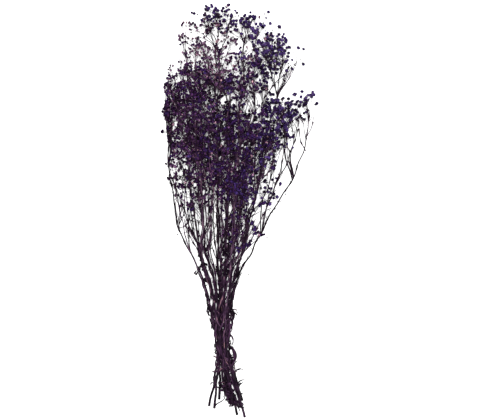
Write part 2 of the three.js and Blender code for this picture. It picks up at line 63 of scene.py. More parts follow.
# Each spray's lane through the waist (column, row), its cut end, its foot where it lies along the floor,
# the joints of its main stem above the waist, and its heads of florets: the joint that a head grows from,
# its middle, its reach along each axis and how many tips it has. "dye" is where the tones of a head's
# florets lie, from faded to blue-violet: the middle one, and how far they stray from it.
SPRAYS = [
    {
        "name": "crown_left", "lane": (-0.5, 0), "cut": (-14, -300, 13),
        "joints": [(-31, -75, 36), (-34, 32, 50), (-35, 140, 56), (-33, 205, 58), (-31, 243, 58)],
        "heads": [
            {"joint": 4, "at": (-33, 302, 58), "reach": (33, 23, 22), "tips": 16, "dye": (0.74, 0.2)},
            {"joint": 3, "at": (-34, 258, 56), "reach": (26, 15, 20), "tips": 6, "dye": (0.24, 0.16)},
            {"joint": 1, "at": (-32, 216, 60), "reach": (24, 16, 20), "tips": 4, "dye": (0.24, 0.16)},
        ],
    },
    {
        "name": "crown_right", "lane": (1.5, 1), "cut": (8, -324, 18),
        "joints": [(-8, -78, 49), (-12, 25, 66), (-3, 110, 74), (2, 172, 74), (6, 220, 70)],
        "heads": [
            {"joint": 4, "at": (15, 282, 66), "reach": (27, 19, 20), "tips": 14, "dye": (0.84, 0.1)},
            {"joint": 3, "at": (6, 232, 72), "reach": (20, 14, 18), "tips": 5, "dye": (0.5, 0.26)},
            {"joint": 1, "at": (14, 172, 84), "reach": (22, 20, 12), "tips": 5, "dye": (0.5, 0.22)},
        ],
    },
    {
        "name": "upper_right", "lane": (0.5, -1), "cut": (-5, -321, 4),
        "joints": [(6, -72, 27), (26, 20, 38), (39, 108, 46), (60, 184, 52)],
        "heads": [
            {"joint": 3, "at": (52, 250, 54), "reach": (30, 26, 24), "tips": 16, "dye": (0.9, 0.09)},
            {"joint": 3, "at": (86, 234, 54), "reach": (12, 7, 10), "tips": 4, "dye": (0.94, 0.06)},
            {"joint": 1, "at": (32, 212, 46), "reach": (22, 18, 16), "tips": 5, "dye": (0.78, 0.14)},
        ],
    },
    {
        "name": "upper_left", "lane": (-1.5, 0), "cut": (-22, -291, 12),
        "joints": [(-48, -66, 34), (-62, 31, 50), (-69, 122, 58), (-74, 182, 60)],
        "heads": [
            {"joint": 3, "at": (-79, 266, 62), "reach": (17, 22, 15), "tips": 6, "dye": (0.34, 0.2)},
            {"joint": 2, "at": (-66, 240, 62), "reach": (18, 16, 16), "tips": 5, "dye": (0.3, 0.2)},
            {"joint": 1, "at": (-78, 210, 64), "reach": (30, 20, 22), "tips": 13, "dye": (0.44, 0.16)},
        ],
    },
    {
        "name": "left_outer", "lane": (-2.5, 0), "cut": (-48, -307, 10),
        "joints": [(-45, -168, 19), (-74, -81, 28), (-97, -25, 36), (-112, 68, 42)],
        "heads": [
            {"joint": 3, "at": (-104, 138, 44), "reach": (19, 42, 26), "tips": 17, "dye": (0.52, 0.12)},
            {"joint": 2, "at": (-92, 62, 50), "reach": (17, 30, 18), "tips": 6, "dye": (0.48, 0.16)},
        ],
    },
    {
        "name": "left_shoulder", "lane": (-1.5, 1), "cut": (-41, -310, 20),
        "joints": [(-60, -70, 46), (-76, 25, 66), (-82, 108, 76)],
        "heads": [
            {"joint": 2, "at": (-90, 180, 78), "reach": (30, 32, 22), "tips": 17, "dye": (0.5, 0.12)},
            {"joint": 0, "at": (-56, 148, 90), "reach": (24, 26, 16), "tips": 8, "dye": (0.5, 0.14)},
        ],
    },
    {
        "name": "centre", "lane": (-1.5, -1), "cut": (-33, -297, 1.6), "foot": (-33, -276, 1.6),
        "joints": [(-33, -72, 19), (-36, 31, 26), (-36, 120, 32)],
        "heads": [
            {"joint": 2, "at": (-42, 186, 34), "reach": (42, 30, 20), "tips": 15, "dye": (0.46, 0.16)},
            {"joint": 0, "at": (-4, 172, 40), "reach": (26, 28, 18), "tips": 9, "dye": (0.6, 0.14)},
        ],
    },
    {
        "name": "right_arm", "lane": (1.5, -1), "cut": (4, -299, 1.6), "foot": (-1, -278, 1.6),
        "joints": [(4, -108, 24), (34, -34, 32), (48, -5, 36), (84, 51, 44), (105, 112, 50)],
        "heads": [
            {"joint": 4, "at": (103, 156, 52), "reach": (20, 13, 16), "tips": 10, "dye": (0.94, 0.07)},
            {"joint": 3, "at": (74, 148, 50), "reach": (20, 22, 20), "tips": 9, "dye": (0.93, 0.08)},
            {"joint": 1, "at": (60, 88, 44), "reach": (17, 30, 18), "tips": 6, "dye": (0.86, 0.12)},
        ],
    },
    {
        "name": "right_low", "lane": (0.5, 0), "cut": (3, -307, 12),
        "joints": [(2, -84, 40), (16, -10, 56), (28, 40, 66)],
        "heads": [
            {"joint": 2, "at": (48, 96, 72), "reach": (24, 44, 22), "tips": 16, "dye": (0.8, 0.14)},
            {"joint": 0, "at": (28, 138, 86), "reach": (26, 26, 16), "tips": 8, "dye": (0.66, 0.14)},
        ],
    },
    {
        "name": "front", "lane": (0.5, 1), "cut": (-10, -303, 23),
        "joints": [(-20, -82, 53), (-22, -6, 70), (-18, 34, 80)],
        "heads": [
            {"joint": 2, "at": (-12, 100, 92), "reach": (40, 40, 20), "tips": 17, "dye": (0.58, 0.14)},
            {"joint": 0, "at": (-2, 44, 86), "reach": (20, 24, 12), "tips": 6, "dye": (0.68, 0.14)},
        ],
    },
    {
        "name": "lower_left", "lane": (-0.5, 1), "cut": (-18, -296, 22),
        "joints": [(-46, -80, 52), (-58, -20, 60), (-64, 18, 66)],
        "heads": [
            {"joint": 2, "at": (-70, 86, 72), "reach": (32, 38, 20), "tips": 16, "dye": (0.5, 0.14)},
            {"joint": 0, "at": (-50, 24, 66), "reach": (18, 26, 14), "tips": 6, "dye": (0.46, 0.16)},
        ],
    },
    {
        "name": "underside", "lane": (-0.5, -1), "cut": (-17, -291, 1.6), "foot": (-19, -268, 1.6),
        "joints": [(-19, -84, 10), (-18, -10, 13), (-18, 24, 14)],
        "heads": [
            {"joint": 2, "at": (-44, 104, 9), "reach": (44, 46, 12), "tips": 13, "dye": (0.52, 0.12)},
            {"joint": 1, "at": (26, 104, 9), "reach": (44, 48, 12), "tips": 13, "dye": (0.62, 0.16)},
        ],
    },
]

# The growth rule. Where a place isn't clear, others ASIDE of it are tried, in each direction of COMPASS. A
# branch bows by BOW of its length and is drawn in pieces of about SPAN. A tip is the roomiest of some
# CANDIDATES. A fork stands back from its tips, at a share of the way within FORK_SHARE, and what grows from
# it is rooted in steps of STAGGER.
TINY = 1e-9
WORD = 0xFFFFFFFF
COMPASS = [(1, 0), (0.7, 0.7), (0, 1), (-0.7, 0.7), (-1, 0), (-0.7, -0.7), (0, -1), (0.7, -0.7)]
ASIDE = (2.5, 5, 8, 12)
BOW = 0.075
SPAN = 42
MOST_PIECES = 3
CANDIDATES = 12
A_FEW = 4
ENOUGH_FOR_THREE = 6
STAND_BACK = 1.15
FORK_SHARE = (0.34, 0.7)
STAGGER = 2.4
FIRST_ROOT = 0.6
HEAD_SEED = 1000
LEAF_SEED = 77000


def length_of(vectors):
    return np.sqrt((vectors * vectors).sum(-1))


def unit(vectors):
    return vectors / np.maximum(length_of(vectors), TINY)[..., None]


def between(low, high, share):
    return low + (high - low) * share


def seeded_random(seed):
    """The mulberry32 generator: numbers from 0 to 1, the same on every run for the same seed."""
    state = seed

    def draw():
        nonlocal state
        state = (state + 0x6D2B79F5) & WORD
        t = (state ^ (state >> 15)) * (state | 1) & WORD
        t ^= (t + ((t ^ (t >> 7)) * (t | 61) & WORD)) & WORD
        return (t ^ (t >> 14)) / 4294967296

    return draw


class Placed:
    """Everything placed so far, as straight pieces with a radius, so that one spray is bent clear of the
    others."""

    def __init__(self, room=6000):
        self.a = np.zeros((room, 3))
        self.b = np.zeros((room, 3))
        self.radius = np.zeros(room)
        self.owner = np.zeros(room, int)
        self.count = 0

    def add(self, line, radius, owner):
        for a, b in zip(line, line[1:]):
            n = self.count
            self.a[n], self.b[n], self.radius[n], self.owner[n] = a, b, radius, owner
            self.count += 1

    def is_clear(self, line, radius, owner):
        others = np.nonzero(self.owner[: self.count] != owner)[0]
        needed = radius + self.radius[others] + CLEARANCE
        c, d = self.a[others], self.b[others]
        return all((piece_distance(a, b, c, d) >= needed).all() for a, b in zip(line, line[1:]))


def piece_distance(a, b, c, d):
    """Smallest distance between the straight piece a-b and each of the straight pieces c-d."""
    u, v, w = b - a, d - c, a - c
    uu, vv = (u * u).sum(), (v * v).sum(-1)
    uv, uw, vw = (u * v).sum(-1), (u * w).sum(-1), (v * w).sum(-1)
    slant = uu * vv - uv * uv
    safe = np.where(slant > TINY, slant, 1)
    s = np.where(slant > TINY, np.clip((uv * vw - vv * uw) / safe, 0, 1), 0)
    t = np.where(vv > TINY, np.clip((uv * s + vw) / np.where(vv > TINY, vv, 1), 0, 1), 0)
    if uu > TINY:
        s = np.clip((uv * t - uw) / uu, 0, 1)
    return length_of(w + s[:, None] * u - t[:, None] * v)


def tried_places(wanted):
    """Where a fork or a floret should be, then eight ways round it, each time further out."""
    yield wanted
    for step in ASIDE:
        for x, z in COMPASS:
            yield wanted + np.array([x * step, 0, max(z * step, REST_HEIGHT - wanted[2])])


def branch_line(start, end, heading):
    """A branch from one fork to the next. Its middle stands off the straight line, away from its parent's
    way: at share t by 4 t (1 - t) of the bow."""
    way = end - start
    length = float(length_of(way))
    pieces = min(MOST_PIECES, max(1, math.ceil(length / SPAN)))
    side = way - heading * (way * heading).sum()
    reach = float(length_of(side))
    bow = side / reach * BOW * length if reach > TINY else side * 0
    shares = [i / pieces for i in range(pieces + 1)]
    return [start + way * t + bow * (4 * t * (1 - t)) for t in shares]


def head_tips(head, draw, tips):
    """The tips of one head, spread through an ellipsoid: each is the roomiest of a few random places."""
    own = []
    reach, middle = np.array(head["reach"], float), np.array(head["at"], float)
    for _ in range(head["tips"]):
        best, room = None, -1
        for _ in range(CANDIDATES):
            p = np.array([draw() * 2 - 1, draw() * 2 - 1, draw() * 2 - 1])
            while (p * p).sum() > 1:
                p = np.array([draw() * 2 - 1, draw() * 2 - 1, draw() * 2 - 1])
            p = p * reach + middle
            p[2] = max(p[2], REST_HEIGHT)
            nearest = length_of(np.array(tips) - p).min() if tips else math.inf
            if nearest > room:
                best, room = p, nearest
        tips.append(best)
        own.append(best)
    return own


def groups_from(fork, members):
    """Sorts tips by the way they lie from a fork. A few are each a group; more gather round the two ways
    that lie furthest apart, and round the one furthest from both."""
    if len(members) <= A_FEW:
        return [[m] for m in members]
    ways = unit(np.array(members) - fork)
    mean = unit(ways.sum(0))

    def furthest(scores):
        best = 0
        for i, score in enumerate(scores):
            if score > scores[best] + TINY:
                best = i
        return best

    seeds = [furthest(length_of(ways - mean))]
    seeds.append(furthest(length_of(ways - ways[seeds[0]])))
    if len(members) >= ENOUGH_FOR_THREE:
        seeds.append(furthest(np.minimum(*[length_of(ways - ways[s]) for s in seeds])))
    nearest = np.argmin([length_of(ways - ways[s]) for s in seeds], axis=0)
    groups = [[m for m, n in zip(members, nearest) if n == g] for g in range(len(seeds))]
    return [g for g in groups if g]


def start_axis(spray, start, heading, head):
    axis = {"points": [start], "heading": heading, "forks": [], "head": head}
    spray["axes"].append(axis)
    return axis


def grow_tip(spray, axis, wanted, placed):
    """Ends an axis in one floret, or leaves its tip bare where there is no clear place for one."""
    start = axis["points"][-1]
    owner = spray["owner"]
    for tip in tried_places(wanted):
        if not placed.is_clear([start, tip], PEDICEL_RADIUS, owner):
            continue
        if not placed.is_clear([tip, tip], FLORET_RADIUS, owner):
            continue
        placed.add([start, tip], PEDICEL_RADIUS, owner)
        placed.add([tip, tip], FLORET_RADIUS, owner)
        axis["points"].append(tip)
        return


def grow_axis(spray, axis, members, placed):
    """Runs an axis on to a fork short of its tips, where it takes the way of the group nearest its own
    heading, and each other group gets an axis of its own, which leaves a little way before the fork."""
    if len(members) == 1:
        grow_tip(spray, axis, members[0], placed)
        return
    start = axis["points"][-1]
    middle = np.sum(members, axis=0) / len(members)
    spread = length_of(np.array(members) - middle).max()
    wanted = 1 - STAND_BACK * spread / length_of(middle - start)
    share = min(FORK_SHARE[1], max(FORK_SHARE[0], wanted))
    for fork in tried_places(start + (middle - start) * share):
        line = branch_line(start, fork, axis["heading"])
        if not placed.is_clear(line, BRANCH_RADIUS, spray["owner"]):
            continue
        placed.add(line, BRANCH_RADIUS, spray["owner"])
        axis["points"].extend(line[1:])
        axis["forks"].append(fork)
        onward = unit(fork - line[-2])
        groups = groups_from(fork, members)
        groups.sort(key=lambda g: -float((unit(np.sum(g, axis=0) / len(g) - fork) * onward).sum()))
        for i, group in enumerate(groups[1:]):
            root = fork - onward * STAGGER * (i + FIRST_ROOT)
            grow_axis(spray, start_axis(spray, root, onward, axis["head"]), group, placed)
        axis["heading"] = onward
        grow_axis(spray, axis, groups[0], placed)
        return


def waist_point(lane):
    column, row = lane
    x = WAIST["x"] + (column + (0.5 if row == 0 else 0)) * LANE_PITCH
    return np.array([x, WAIST["y"], WAIST["z"] + row * ROW_STEP * LANE_PITCH])


def stem_line(spray):
    """The line of a main stem: cut end, foot, the straight run through the waist, then each joint."""
    along = np.array([0, WAIST["half_length"], 0])
    middle = waist_point(spray["lane"])
    feet = [spray["cut"]] + ([spray["foot"]] if "foot" in spray else [])
    return [np.array(p, float) for p in feet + [middle - along, middle + along] + spray["joints"]]


def stem_at(line, y):
    """The point of a stem at one height along the bunch, and the way it runs there."""
    i = next((n for n in range(len(line) - 1) if line[n + 1][1] >= y), 0)
    a, b = line[i], line[i + 1]
    return a + (b - a) * ((y - a[1]) / (b[1] - a[1])), unit(b - a)


def leaf_line(at, heading, aside, length, curl):
    """The midrib of a leaf: it leaves the stem outwards and curls round towards the cut ends."""
    line = [at]
    for i in range(LEAF["stations"]):
        turn = LEAF["rise"] + curl * (i + 0.5) / LEAF["stations"]
        way = heading * math.cos(turn) + aside * math.sin(turn)
        line.append(line[-1] + way * length / LEAF["stations"])
    return line


def grow_leaves(spray, draw, placed):
    line = spray["line"]
    for height in LEAF_PLACES:
        wanted_turn = draw() * math.pi * 2
        length = between(*LEAF["length"], draw())
        curl = between(*LEAF["curl"], draw())
        if height < line[0][1] + LEAF["sway"]:
            continue
        at, heading = stem_at(line, height + draw() * LEAF["sway"])
        right = unit(np.cross(heading, (0, 0, 1)))
        up = np.cross(right, heading)
        for k in range(LEAF["ways"]):
            turn = wanted_turn + k * 2 * math.pi / LEAF["ways"]
            aside = right * math.cos(turn) + up * math.sin(turn)
            midrib = leaf_line(at, heading, aside, length, curl)
            lowest = min(p[2] for p in midrib[1:])
            if lowest > LEAF["touch"] + 1 and placed.is_clear(midrib, LEAF["touch"], spray["owner"]):
                placed.add(midrib, LEAF["touch"], spray["owner"])
                spray["leaves"].append({"line": midrib, "across": unit(np.cross(heading, aside))})
                break


def grow_bunch():
    """Grows every stem first, so that they keep their lanes, then the sprays' branches and the leaves."""
    placed = Placed()
    sprays = [{**s, "owner": i, "line": stem_line(s), "axes": [], "leaves": []} for i, s in enumerate(SPRAYS)]
    for s in sprays:
        placed.add(s["line"], STEM_RADIUS, s["owner"])
    tips = []
    for i, s in enumerate(sprays):
        seed = HEAD_SEED * (i + 1)
        s["tips"] = [head_tips(h, seeded_random(seed + n), tips) for n, h in enumerate(s["heads"])]
    for s in sprays:
        first = len(s["line"]) - len(s["joints"])
        rooted = [0] * len(s["joints"])
        for head, members in zip(s["heads"], s["tips"]):
            joint = s["line"][first + head["joint"]]
            heading = unit(joint - s["line"][first + head["joint"] - 1])
            for group in groups_from(joint, members):
                root = joint - heading * STAGGER * (rooted[head["joint"]] + FIRST_ROOT)
                grow_axis(s, start_axis(s, root, heading, head), group, placed)
                rooted[head["joint"]] += 1
        s["axes"] = [a for a in s["axes"] if len(a["points"]) > 1]
    for i, s in enumerate(sprays):
        grow_leaves(s, seeded_random(LEAF_SEED + i), placed)
    return sprays, placed


# The finer growth: what the solids are too coarse for, on the same lines. Sizes are a real plant's, in
# millimetres, and angles are in radians.
# Main stems: thinner towards the crown, and swollen at a node for about every internode
STEM = {
    "step": 3, "sides": 8, "soften": 9, "taper": 0.6, "power": 0.5, "internode": 48, "swelling": 0.6,
    "node": 2.8, "tone": (0.2, 0.55),
}

# Branches: their radii at the tip and so far back that they are fully thick, and how far short they end
AXIS = {
    "step": 3.6, "sides": 5, "soften": 4, "radii": (0.42, 1.0), "full": 110, "swelling": 0.9, "node": 2.2,
}
TRIM = {"most": 9.0, "share": 0.4}

# Side shoots of each main stem, which keep to the left of an edge that widens towards the crown
SHOOT = {
    "each": 3, "lowest": -198, "highest": -70, "astray": 14, "end": (-30, 100), "short_of": 4,
    "shortest": 40, "aside": (5, 36), "radius": 0.75, "points": 9, "stray": 1.0, "ways": 8,
    "towards": (-15, 50), "right": -13, "widening": 0.75, "from": -110, "over": 2, "dye": (0.56, 0.14),
}

# Finer branches: they leave the solids' ones at a near place that runs their way
EXTRA = {
    "points": 8, "bend": 0.45, "shortest": 12, "inside": 0.97, "tries": 14, "hosts": 14, "flat": 0.4,
    "stray": 2.0, "too_near": 1000,
}

# Twigs: how far apart they leave a branch, from how much of it, and how many are missing in loose heads
SITES = {"gap": (9, 15), "share": 0.75, "most": 3, "stop": 0.35, "drop": 0.5, "stray": 0.3}
TWIG = {"length": (5, 12), "tilt": (0.4, 0.95), "bend": 0.7, "points": 4, "sides": 3, "radius": (0.34, 0.27)}
PEDICEL = {
    "length": (3.5, 8.5), "tilt": (0.4, 1.0), "straight": 0.2, "bend": 0.5, "stray": 0.4, "points": 3,
    "sides": 3, "radius": (0.24, 0.2),
}

# The fresher a head's colour, the looser it is: the tones where that starts and ends, and what it does
LOOSE = {"from": 0.5, "to": 0.8, "longer": 1.8, "drop": 0.6, "thinner": 0.65}
FLORET_SIZE = {"dense": 0.74, "loose": 0.98, "stray": 0.17, "least": 0.65, "most": 1.3, "over": 1.2}

# How wide florets have opened, how many blooms are buds, and how their tones stray from the head's: all on
# one twig together and each on its own. A few are faded flecks.
SPREAD = {"dull": 0.72, "fresh": 0.4, "stray": 0.09, "least": 0.6, "most": 1.2}
BUD_SHARE = {"middle": 0.12, "side": 0.39}
TONE_STRAY = {"twig": 0.75, "own": 0.6}
FLECK = {"floret": 0.024, "bud": 0.22, "palest": 0.16}

# Tones of thin stalks, and the florets' tones below which the dye has worn off them too
STALK_TONE = {"least": 0.15, "stray": 0.6, "worn": 0.7, "from": 0.45, "over": 0.2}

# How many finer axes each head gets besides the ones that the solids have
EXTRA_AXES = {
    "crown_left": (1, 3, 5), "crown_right": (0, 4, 2), "upper_right": (5, 0, 5), "upper_left": (0, 1, 5),
    "left_outer": (18, 0), "left_shoulder": (13, 11), "centre": (18, 3), "right_arm": (0, 4, 0),
    "right_low": (3, 2), "front": (18, 8), "lower_left": (12, 4), "underside": (25, 9),
}

# Tufts of finer axes between the heads: the middle, the reach along each axis, the dye and how many axes
TUFTS = {
    "crown_left": [
        ((-49, 283, 58), (21, 15, 18), (0.45, 0.25), 7),
        ((-31, 297, 60), (17, 18, 16), (0.8, 0.12), 6),
        ((-49, 215, 58), (12, 24, 16), (0.38, 0.2), 6),
        ((-22, 233, 58), (18, 12, 16), (0.3, 0.2), 3),
        ((-56, 246, 58), (8, 14, 16), (0.25, 0.15), 4),
        ((-80, 264, 58), (8, 16, 12), (0.3, 0.2), 2),
        ((-49, 199, 58), (12, 16, 14), (0.42, 0.2), 4),
        ((-76, 275, 58), (10, 10, 12), (0.35, 0.2), 1),
        ((-52, 257, 60), (6, 8, 10), (0.35, 0.15), 1),
    ],
    "crown_right": [
        ((10, 268, 68), (16, 8, 14), (0.86, 0.08), 5),
        ((-3, 201, 74), (20, 14, 16), (0.6, 0.2), 8),
        ((0, 185, 74), (22, 9, 16), (0.6, 0.2), 5),
        ((-14, 193, 70), (12, 9, 14), (0.55, 0.2), 6),
        ((17, 276, 66), (9, 7, 10), (0.88, 0.08), 2),
        ((-26, 271, 66), (10, 8, 12), (0.6, 0.2), 1),
        ((27, 252, 66), (8, 8, 12), (0.86, 0.1), 2),
        ((-1, 142, 72), (8, 12, 14), (0.6, 0.15), 2),
        ((0, 199, 72), (8, 10, 12), (0.6, 0.15), 2),
    ],
    "upper_right": [
        ((41, 235, 52), (16, 15, 18), (0.92, 0.08), 14),
        ((53, 230, 52), (12, 18, 16), (0.92, 0.08), 7),
        ((33, 196, 46), (7, 12, 14), (0.84, 0.1), 3),
        ((44, 167, 48), (10, 8, 12), (0.86, 0.08), 2),
        ((44, 252, 56), (10, 10, 12), (0.92, 0.08), 2),
        ((27, 215, 48), (8, 10, 12), (0.84, 0.1), 3),
        ((41, 164, 46), (10, 8, 12), (0.84, 0.1), 1),
        ((76, 230, 54), (7, 7, 12), (0.92, 0.08), 1),
    ],
    "left_outer": [
        ((-119, 147, 44), (6, 24, 20), (0.5, 0.12), 8),
        ((-84, 125, 50), (14, 12, 14), (0.46, 0.13), 3),
        ((-118, 152, 44), (5, 12, 14), (0.5, 0.12), 2),
        ((-102, 175, 46), (10, 16, 14), (0.48, 0.12), 3),
        ((-111, 193, 46), (12, 8, 12), (0.48, 0.12), 1),
        ((-96, 60, 46), (7, 12, 12), (0.46, 0.12), 1),
        ((-119, 199, 46), (8, 8, 12), (0.48, 0.12), 1),
    ],
    "left_shoulder": [
        ((-80, 140, 76), (20, 26, 18), (0.46, 0.13), 10),
        ((-88, 108, 70), (12, 24, 16), (0.46, 0.13), 9),
        ((-80, 157, 78), (14, 12, 14), (0.46, 0.13), 4),
        ((-91, 99, 68), (8, 16, 12), (0.46, 0.13), 4),
        ((-99, 156, 70), (8, 18, 14), (0.46, 0.13), 3),
        ((-71, 49, 64), (10, 12, 12), (0.46, 0.13), 1),
        ((-88, 122, 70), (8, 14, 14), (0.46, 0.13), 2),
    ],
    "centre": [
        ((-28, 150, 34), (14, 24, 18), (0.48, 0.14), 9),
        ((-29, 119, 34), (8, 10, 16), (0.5, 0.14), 4),
        ((-38, 36, 36), (14, 10, 12), (0.5, 0.12), 3),
        ((-25, 122, 36), (16, 12, 12), (0.5, 0.12), 3),
        ((-49, 4, 34), (10, 8, 10), (0.5, 0.12), 2),
    ],
    "right_arm": [
        ((56, 154, 50), (14, 14, 16), (0.9, 0.08), 9),
        ((82, 154, 50), (18, 8, 14), (0.93, 0.08), 3),
        ((70, 136, 50), (10, 8, 12), (0.92, 0.08), 2),
        ((53, 140, 48), (10, 8, 12), (0.9, 0.08), 2),
        ((90, 156, 50), (8, 6, 12), (0.92, 0.08), 1),
    ],
    "right_low": [
        ((22, 69, 66), (18, 22, 20), (0.7, 0.14), 10),
        ((37, 22, 60), (8, 20, 14), (0.8, 0.12), 4),
        ((34, 109, 68), (20, 14, 16), (0.74, 0.14), 8),
        ((16, 49, 64), (14, 12, 14), (0.72, 0.12), 9),
        ((13, -30, 50), (7, 18, 8), (0.8, 0.12), 6),
        ((6, -61, 46), (8, 14, 8), (0.7, 0.14), 4),
        ((55, 120, 60), (8, 18, 14), (0.85, 0.1), 4),
        ((22, 78, 68), (12, 12, 14), (0.7, 0.14), 6),
        ((41, 41, 60), (9, 18, 14), (0.8, 0.12), 3),
        ((27, 109, 66), (9, 14, 14), (0.74, 0.14), 4),
        ((11, 83, 66), (10, 14, 14), (0.68, 0.14), 3),
        ((36, 47, 60), (8, 10, 12), (0.8, 0.12), 2),
        ((16, -46, 46), (6, 8, 8), (0.75, 0.12), 1),
        ((36, 21, 56), (5, 10, 12), (0.8, 0.12), 2),
        ((47, 88, 62), (8, 8, 12), (0.84, 0.1), 2),
        ((10, 32, 62), (8, 14, 12), (0.7, 0.12), 3),
    ],
    "front": [
        ((-23, 60, 84), (18, 18, 14), (0.54, 0.14), 11),
        ((0, 20, 78), (14, 18, 12), (0.62, 0.14), 8),
        ((-22, 20, 76), (10, 18, 12), (0.5, 0.14), 8),
        ((-3, -12, 70), (10, 16, 10), (0.6, 0.14), 6),
        ((-17, 41, 80), (20, 18, 12), (0.54, 0.14), 7),
        ((-2, 29, 78), (10, 14, 12), (0.62, 0.12), 3),
        ((-6, 60, 82), (14, 14, 12), (0.58, 0.12), 4),
        ((-12, -41, 64), (9, 14, 10), (0.52, 0.14), 3),
        ((-9, 44, 82), (18, 16, 12), (0.56, 0.12), 6),
    ],
    "lower_left": [
        ((-84, 13, 60), (15, 22, 16), (0.44, 0.14), 4),
        ((-52, 47, 66), (14, 12, 16), (0.46, 0.14), 10),
        ((-80, 40, 62), (14, 10, 14), (0.44, 0.14), 7),
        ((-73, 12, 62), (14, 12, 14), (0.48, 0.14), 3),
    ],
}

# Openings in the mass, seen from above: the middle, the reach and the share of the twigs that is missing
OPENINGS = [
    ((8, 300), (19, 14), 1), ((84, 216), (12, 16), 0.8), ((-70, 266), (9, 11), 0.8),
    ((-63, 224), (16, 9), 0.5), ((-20, 295), (12, 12), 0.6), ((-12, 167), (16, 14), 0.9),
    ((17, 148), (16, 19), 0.85), ((-110, 66), (11, 28), 0.7), ((-40, 250), (11, 11), 0.8),
    ((-85, 243), (11, 9), 0.7), ((75, 66), (22, 29), 1), ((110, 176), (11, 8), 0.7),
    ((96, 142), (14, 9), 0.6), ((-96, -5), (19, 20), 0.9), ((-51, -43), (14, 53), 0.8),
    ((17, -7), (11, 25), 1), ((-40, 16), (11, 9), 0.6), ((54, 23), (12, 25), 0.95),
    ((-73, -36), (19, 20), 0.9), ((-26, -10), (12, 22), 0.9), ((76, 255), (16, 11), 0.6),
    ((-105, 120), (9, 22), 0.7), ((-110, 184), (9, 16), 0.4), ((-91, 215), (12, 12), 0.6),
    ((-49, 309), (12, 11), 0.8), ((22, 295), (14, 12), 0.95), ((50, 190), (14, 22), 0.8),
    ((50, 277), (11, 11), 0.6), ((34, -36), (12, 20), 0.9), ((-82, 57), (8, 12), 0.5),
    ((20, 230), (8, 19), 0.3), ((-12, 216), (9, 11), 0.4), ((3, -60), (11, 12), 0.9),
    ((22, 27), (8, 19), 0.9), ((53, 69), (11, 11), 0.8), ((-91, 264), (9, 9), 0.5),
    ((-76, 10), (9, 12), 0.5), ((16, 249), (9, 12), 0.4), ((41, 210), (9, 14), 0.5),
    ((84, 175), (12, 6), 0.5), ((48, 119), (12, 19), 0.5), ((-43, 171), (9, 12), 0.5),
]

# Fine branches that stand clear of the mass at its edges and in the fan: the spray and the joints of each
BRANCH_RADII = (0.6, 1.05)
BRANCHES = [
    ("right_arm", [(82, 50, 44), (74, 71, 47), (70, 92, 50), (67, 109, 50)]),
    ("right_arm", [(82, 50, 44), (78, 74, 42), (79, 91, 40), (72, 102, 40), (67, 119, 40)]),
    ("right_arm", [(101, 91, 48), (95, 103, 50), (92, 122, 52), (92, 136, 52), (89, 150, 54)]),
    ("right_arm", [(105, 114, 50), (114, 134, 48), (119, 153, 48)]),
    ("right_arm", [(105, 114, 50), (106, 140, 53), (102, 159, 53)]),
    ("right_low", [
        (41, 4, 40), (60, 50, 42), (72, 72, 40), (79, 90, 38), (85, 106, 38), (89, 123, 39),
        (81, 140, 40),
    ]),
    ("right_low", [(60, 50, 42), (64, 74, 44), (69, 93, 44), (71, 111, 44)]),
    ("upper_right", [(61, 181, 50), (68, 199, 50), (75, 221, 52), (87, 230, 54)]),
    ("upper_right", [(37, 173, 46), (50, 192, 47), (67, 209, 49), (82, 221, 50)]),
    ("left_outer", [
        (-112, 68, 42), (-114, 94, 42), (-116, 112, 42), (-121, 126, 43), (-122, 144, 44),
        (-122, 168, 44), (-121, 187, 44),
    ]),
    ("left_outer", [(-63, -60, 34), (-77, -32, 36), (-88, 1, 38), (-101, 37, 40), (-111, 66, 41)]),
    ("left_outer", [(-101, 37, 40), (-91, 38, 41), (-82, 47, 43)]),
    ("left_outer", [(-95, -29, 37), (-85, -25, 39), (-77, -13, 41)]),
    ("left_outer", [(-111, 68, 42), (-104, 77, 43), (-104, 97, 44), (-107, 117, 45)]),
    ("left_outer", [(-96, -25, 36), (-101, 6, 36), (-105, 26, 35), (-109, 44, 34)]),
    ("front", [(-12, -70, 50), (-4, -41, 54), (11, -22, 58), (36, 4, 60)]),
    ("right_low", [(-11, -114, 36), (-3, -83, 40), (14, -60, 46), (28, -43, 50)]),
    ("lower_left", [(-51, -109, 44), (-63, -61, 48), (-76, -38, 50), (-90, 6, 52), (-94, 21, 52)]),
    ("left_shoulder", [
        (-42, -142, 36), (-49, -109, 44), (-60, -74, 50), (-68, -49, 54), (-73, -18, 58),
        (-77, 6, 60),
    ]),
    ("lower_left", [(-45, -143, 28), (-52, -118, 32), (-59, -91, 36), (-65, -64, 40), (-71, -46, 44)]),
    ("lower_left", [(-51, -123, 30), (-56, -98, 30), (-59, -72, 32), (-57, -49, 34)]),
    ("left_shoulder", [(-60, -74, 50), (-73, -53, 54), (-84, -27, 56), (-87, -5, 56)]),
    ("crown_right", [(-25, -118, 46), (-18, -83, 50), (-22, -49, 54), (-15, -18, 60)]),
    ("centre", [(-28, -126, 26), (-22, -92, 30), (-12, -64, 34), (-14, -36, 36)]),
    ("front", [(11, -22, 58), (25, 4, 60), (44, 29, 60)]),
    ("right_low", [(-6, -83, 44), (10, -49, 50), (22, -25, 54), (30, -5, 56)]),
    ("right_low", [(0, -74, 42), (16, -50, 46), (27, -30, 50), (36, -8, 52), (47, 18, 52)]),
    ("front", [(-17, -111, 34), (-9, -83, 40), (3, -61, 46), (11, -36, 50), (16, -10, 56)]),
    ("crown_right", [(-22, -126, 32), (-12, -98, 38), (-1, -70, 44), (6, -46, 50), (10, -21, 54)]),
]

# The stems are pressed together above the waist: where, how far along the bunch and by what share on each
# side
PRESS = {"x": -28, "y": -132, "reach": 52, "left": 0.22, "right": 0.36}

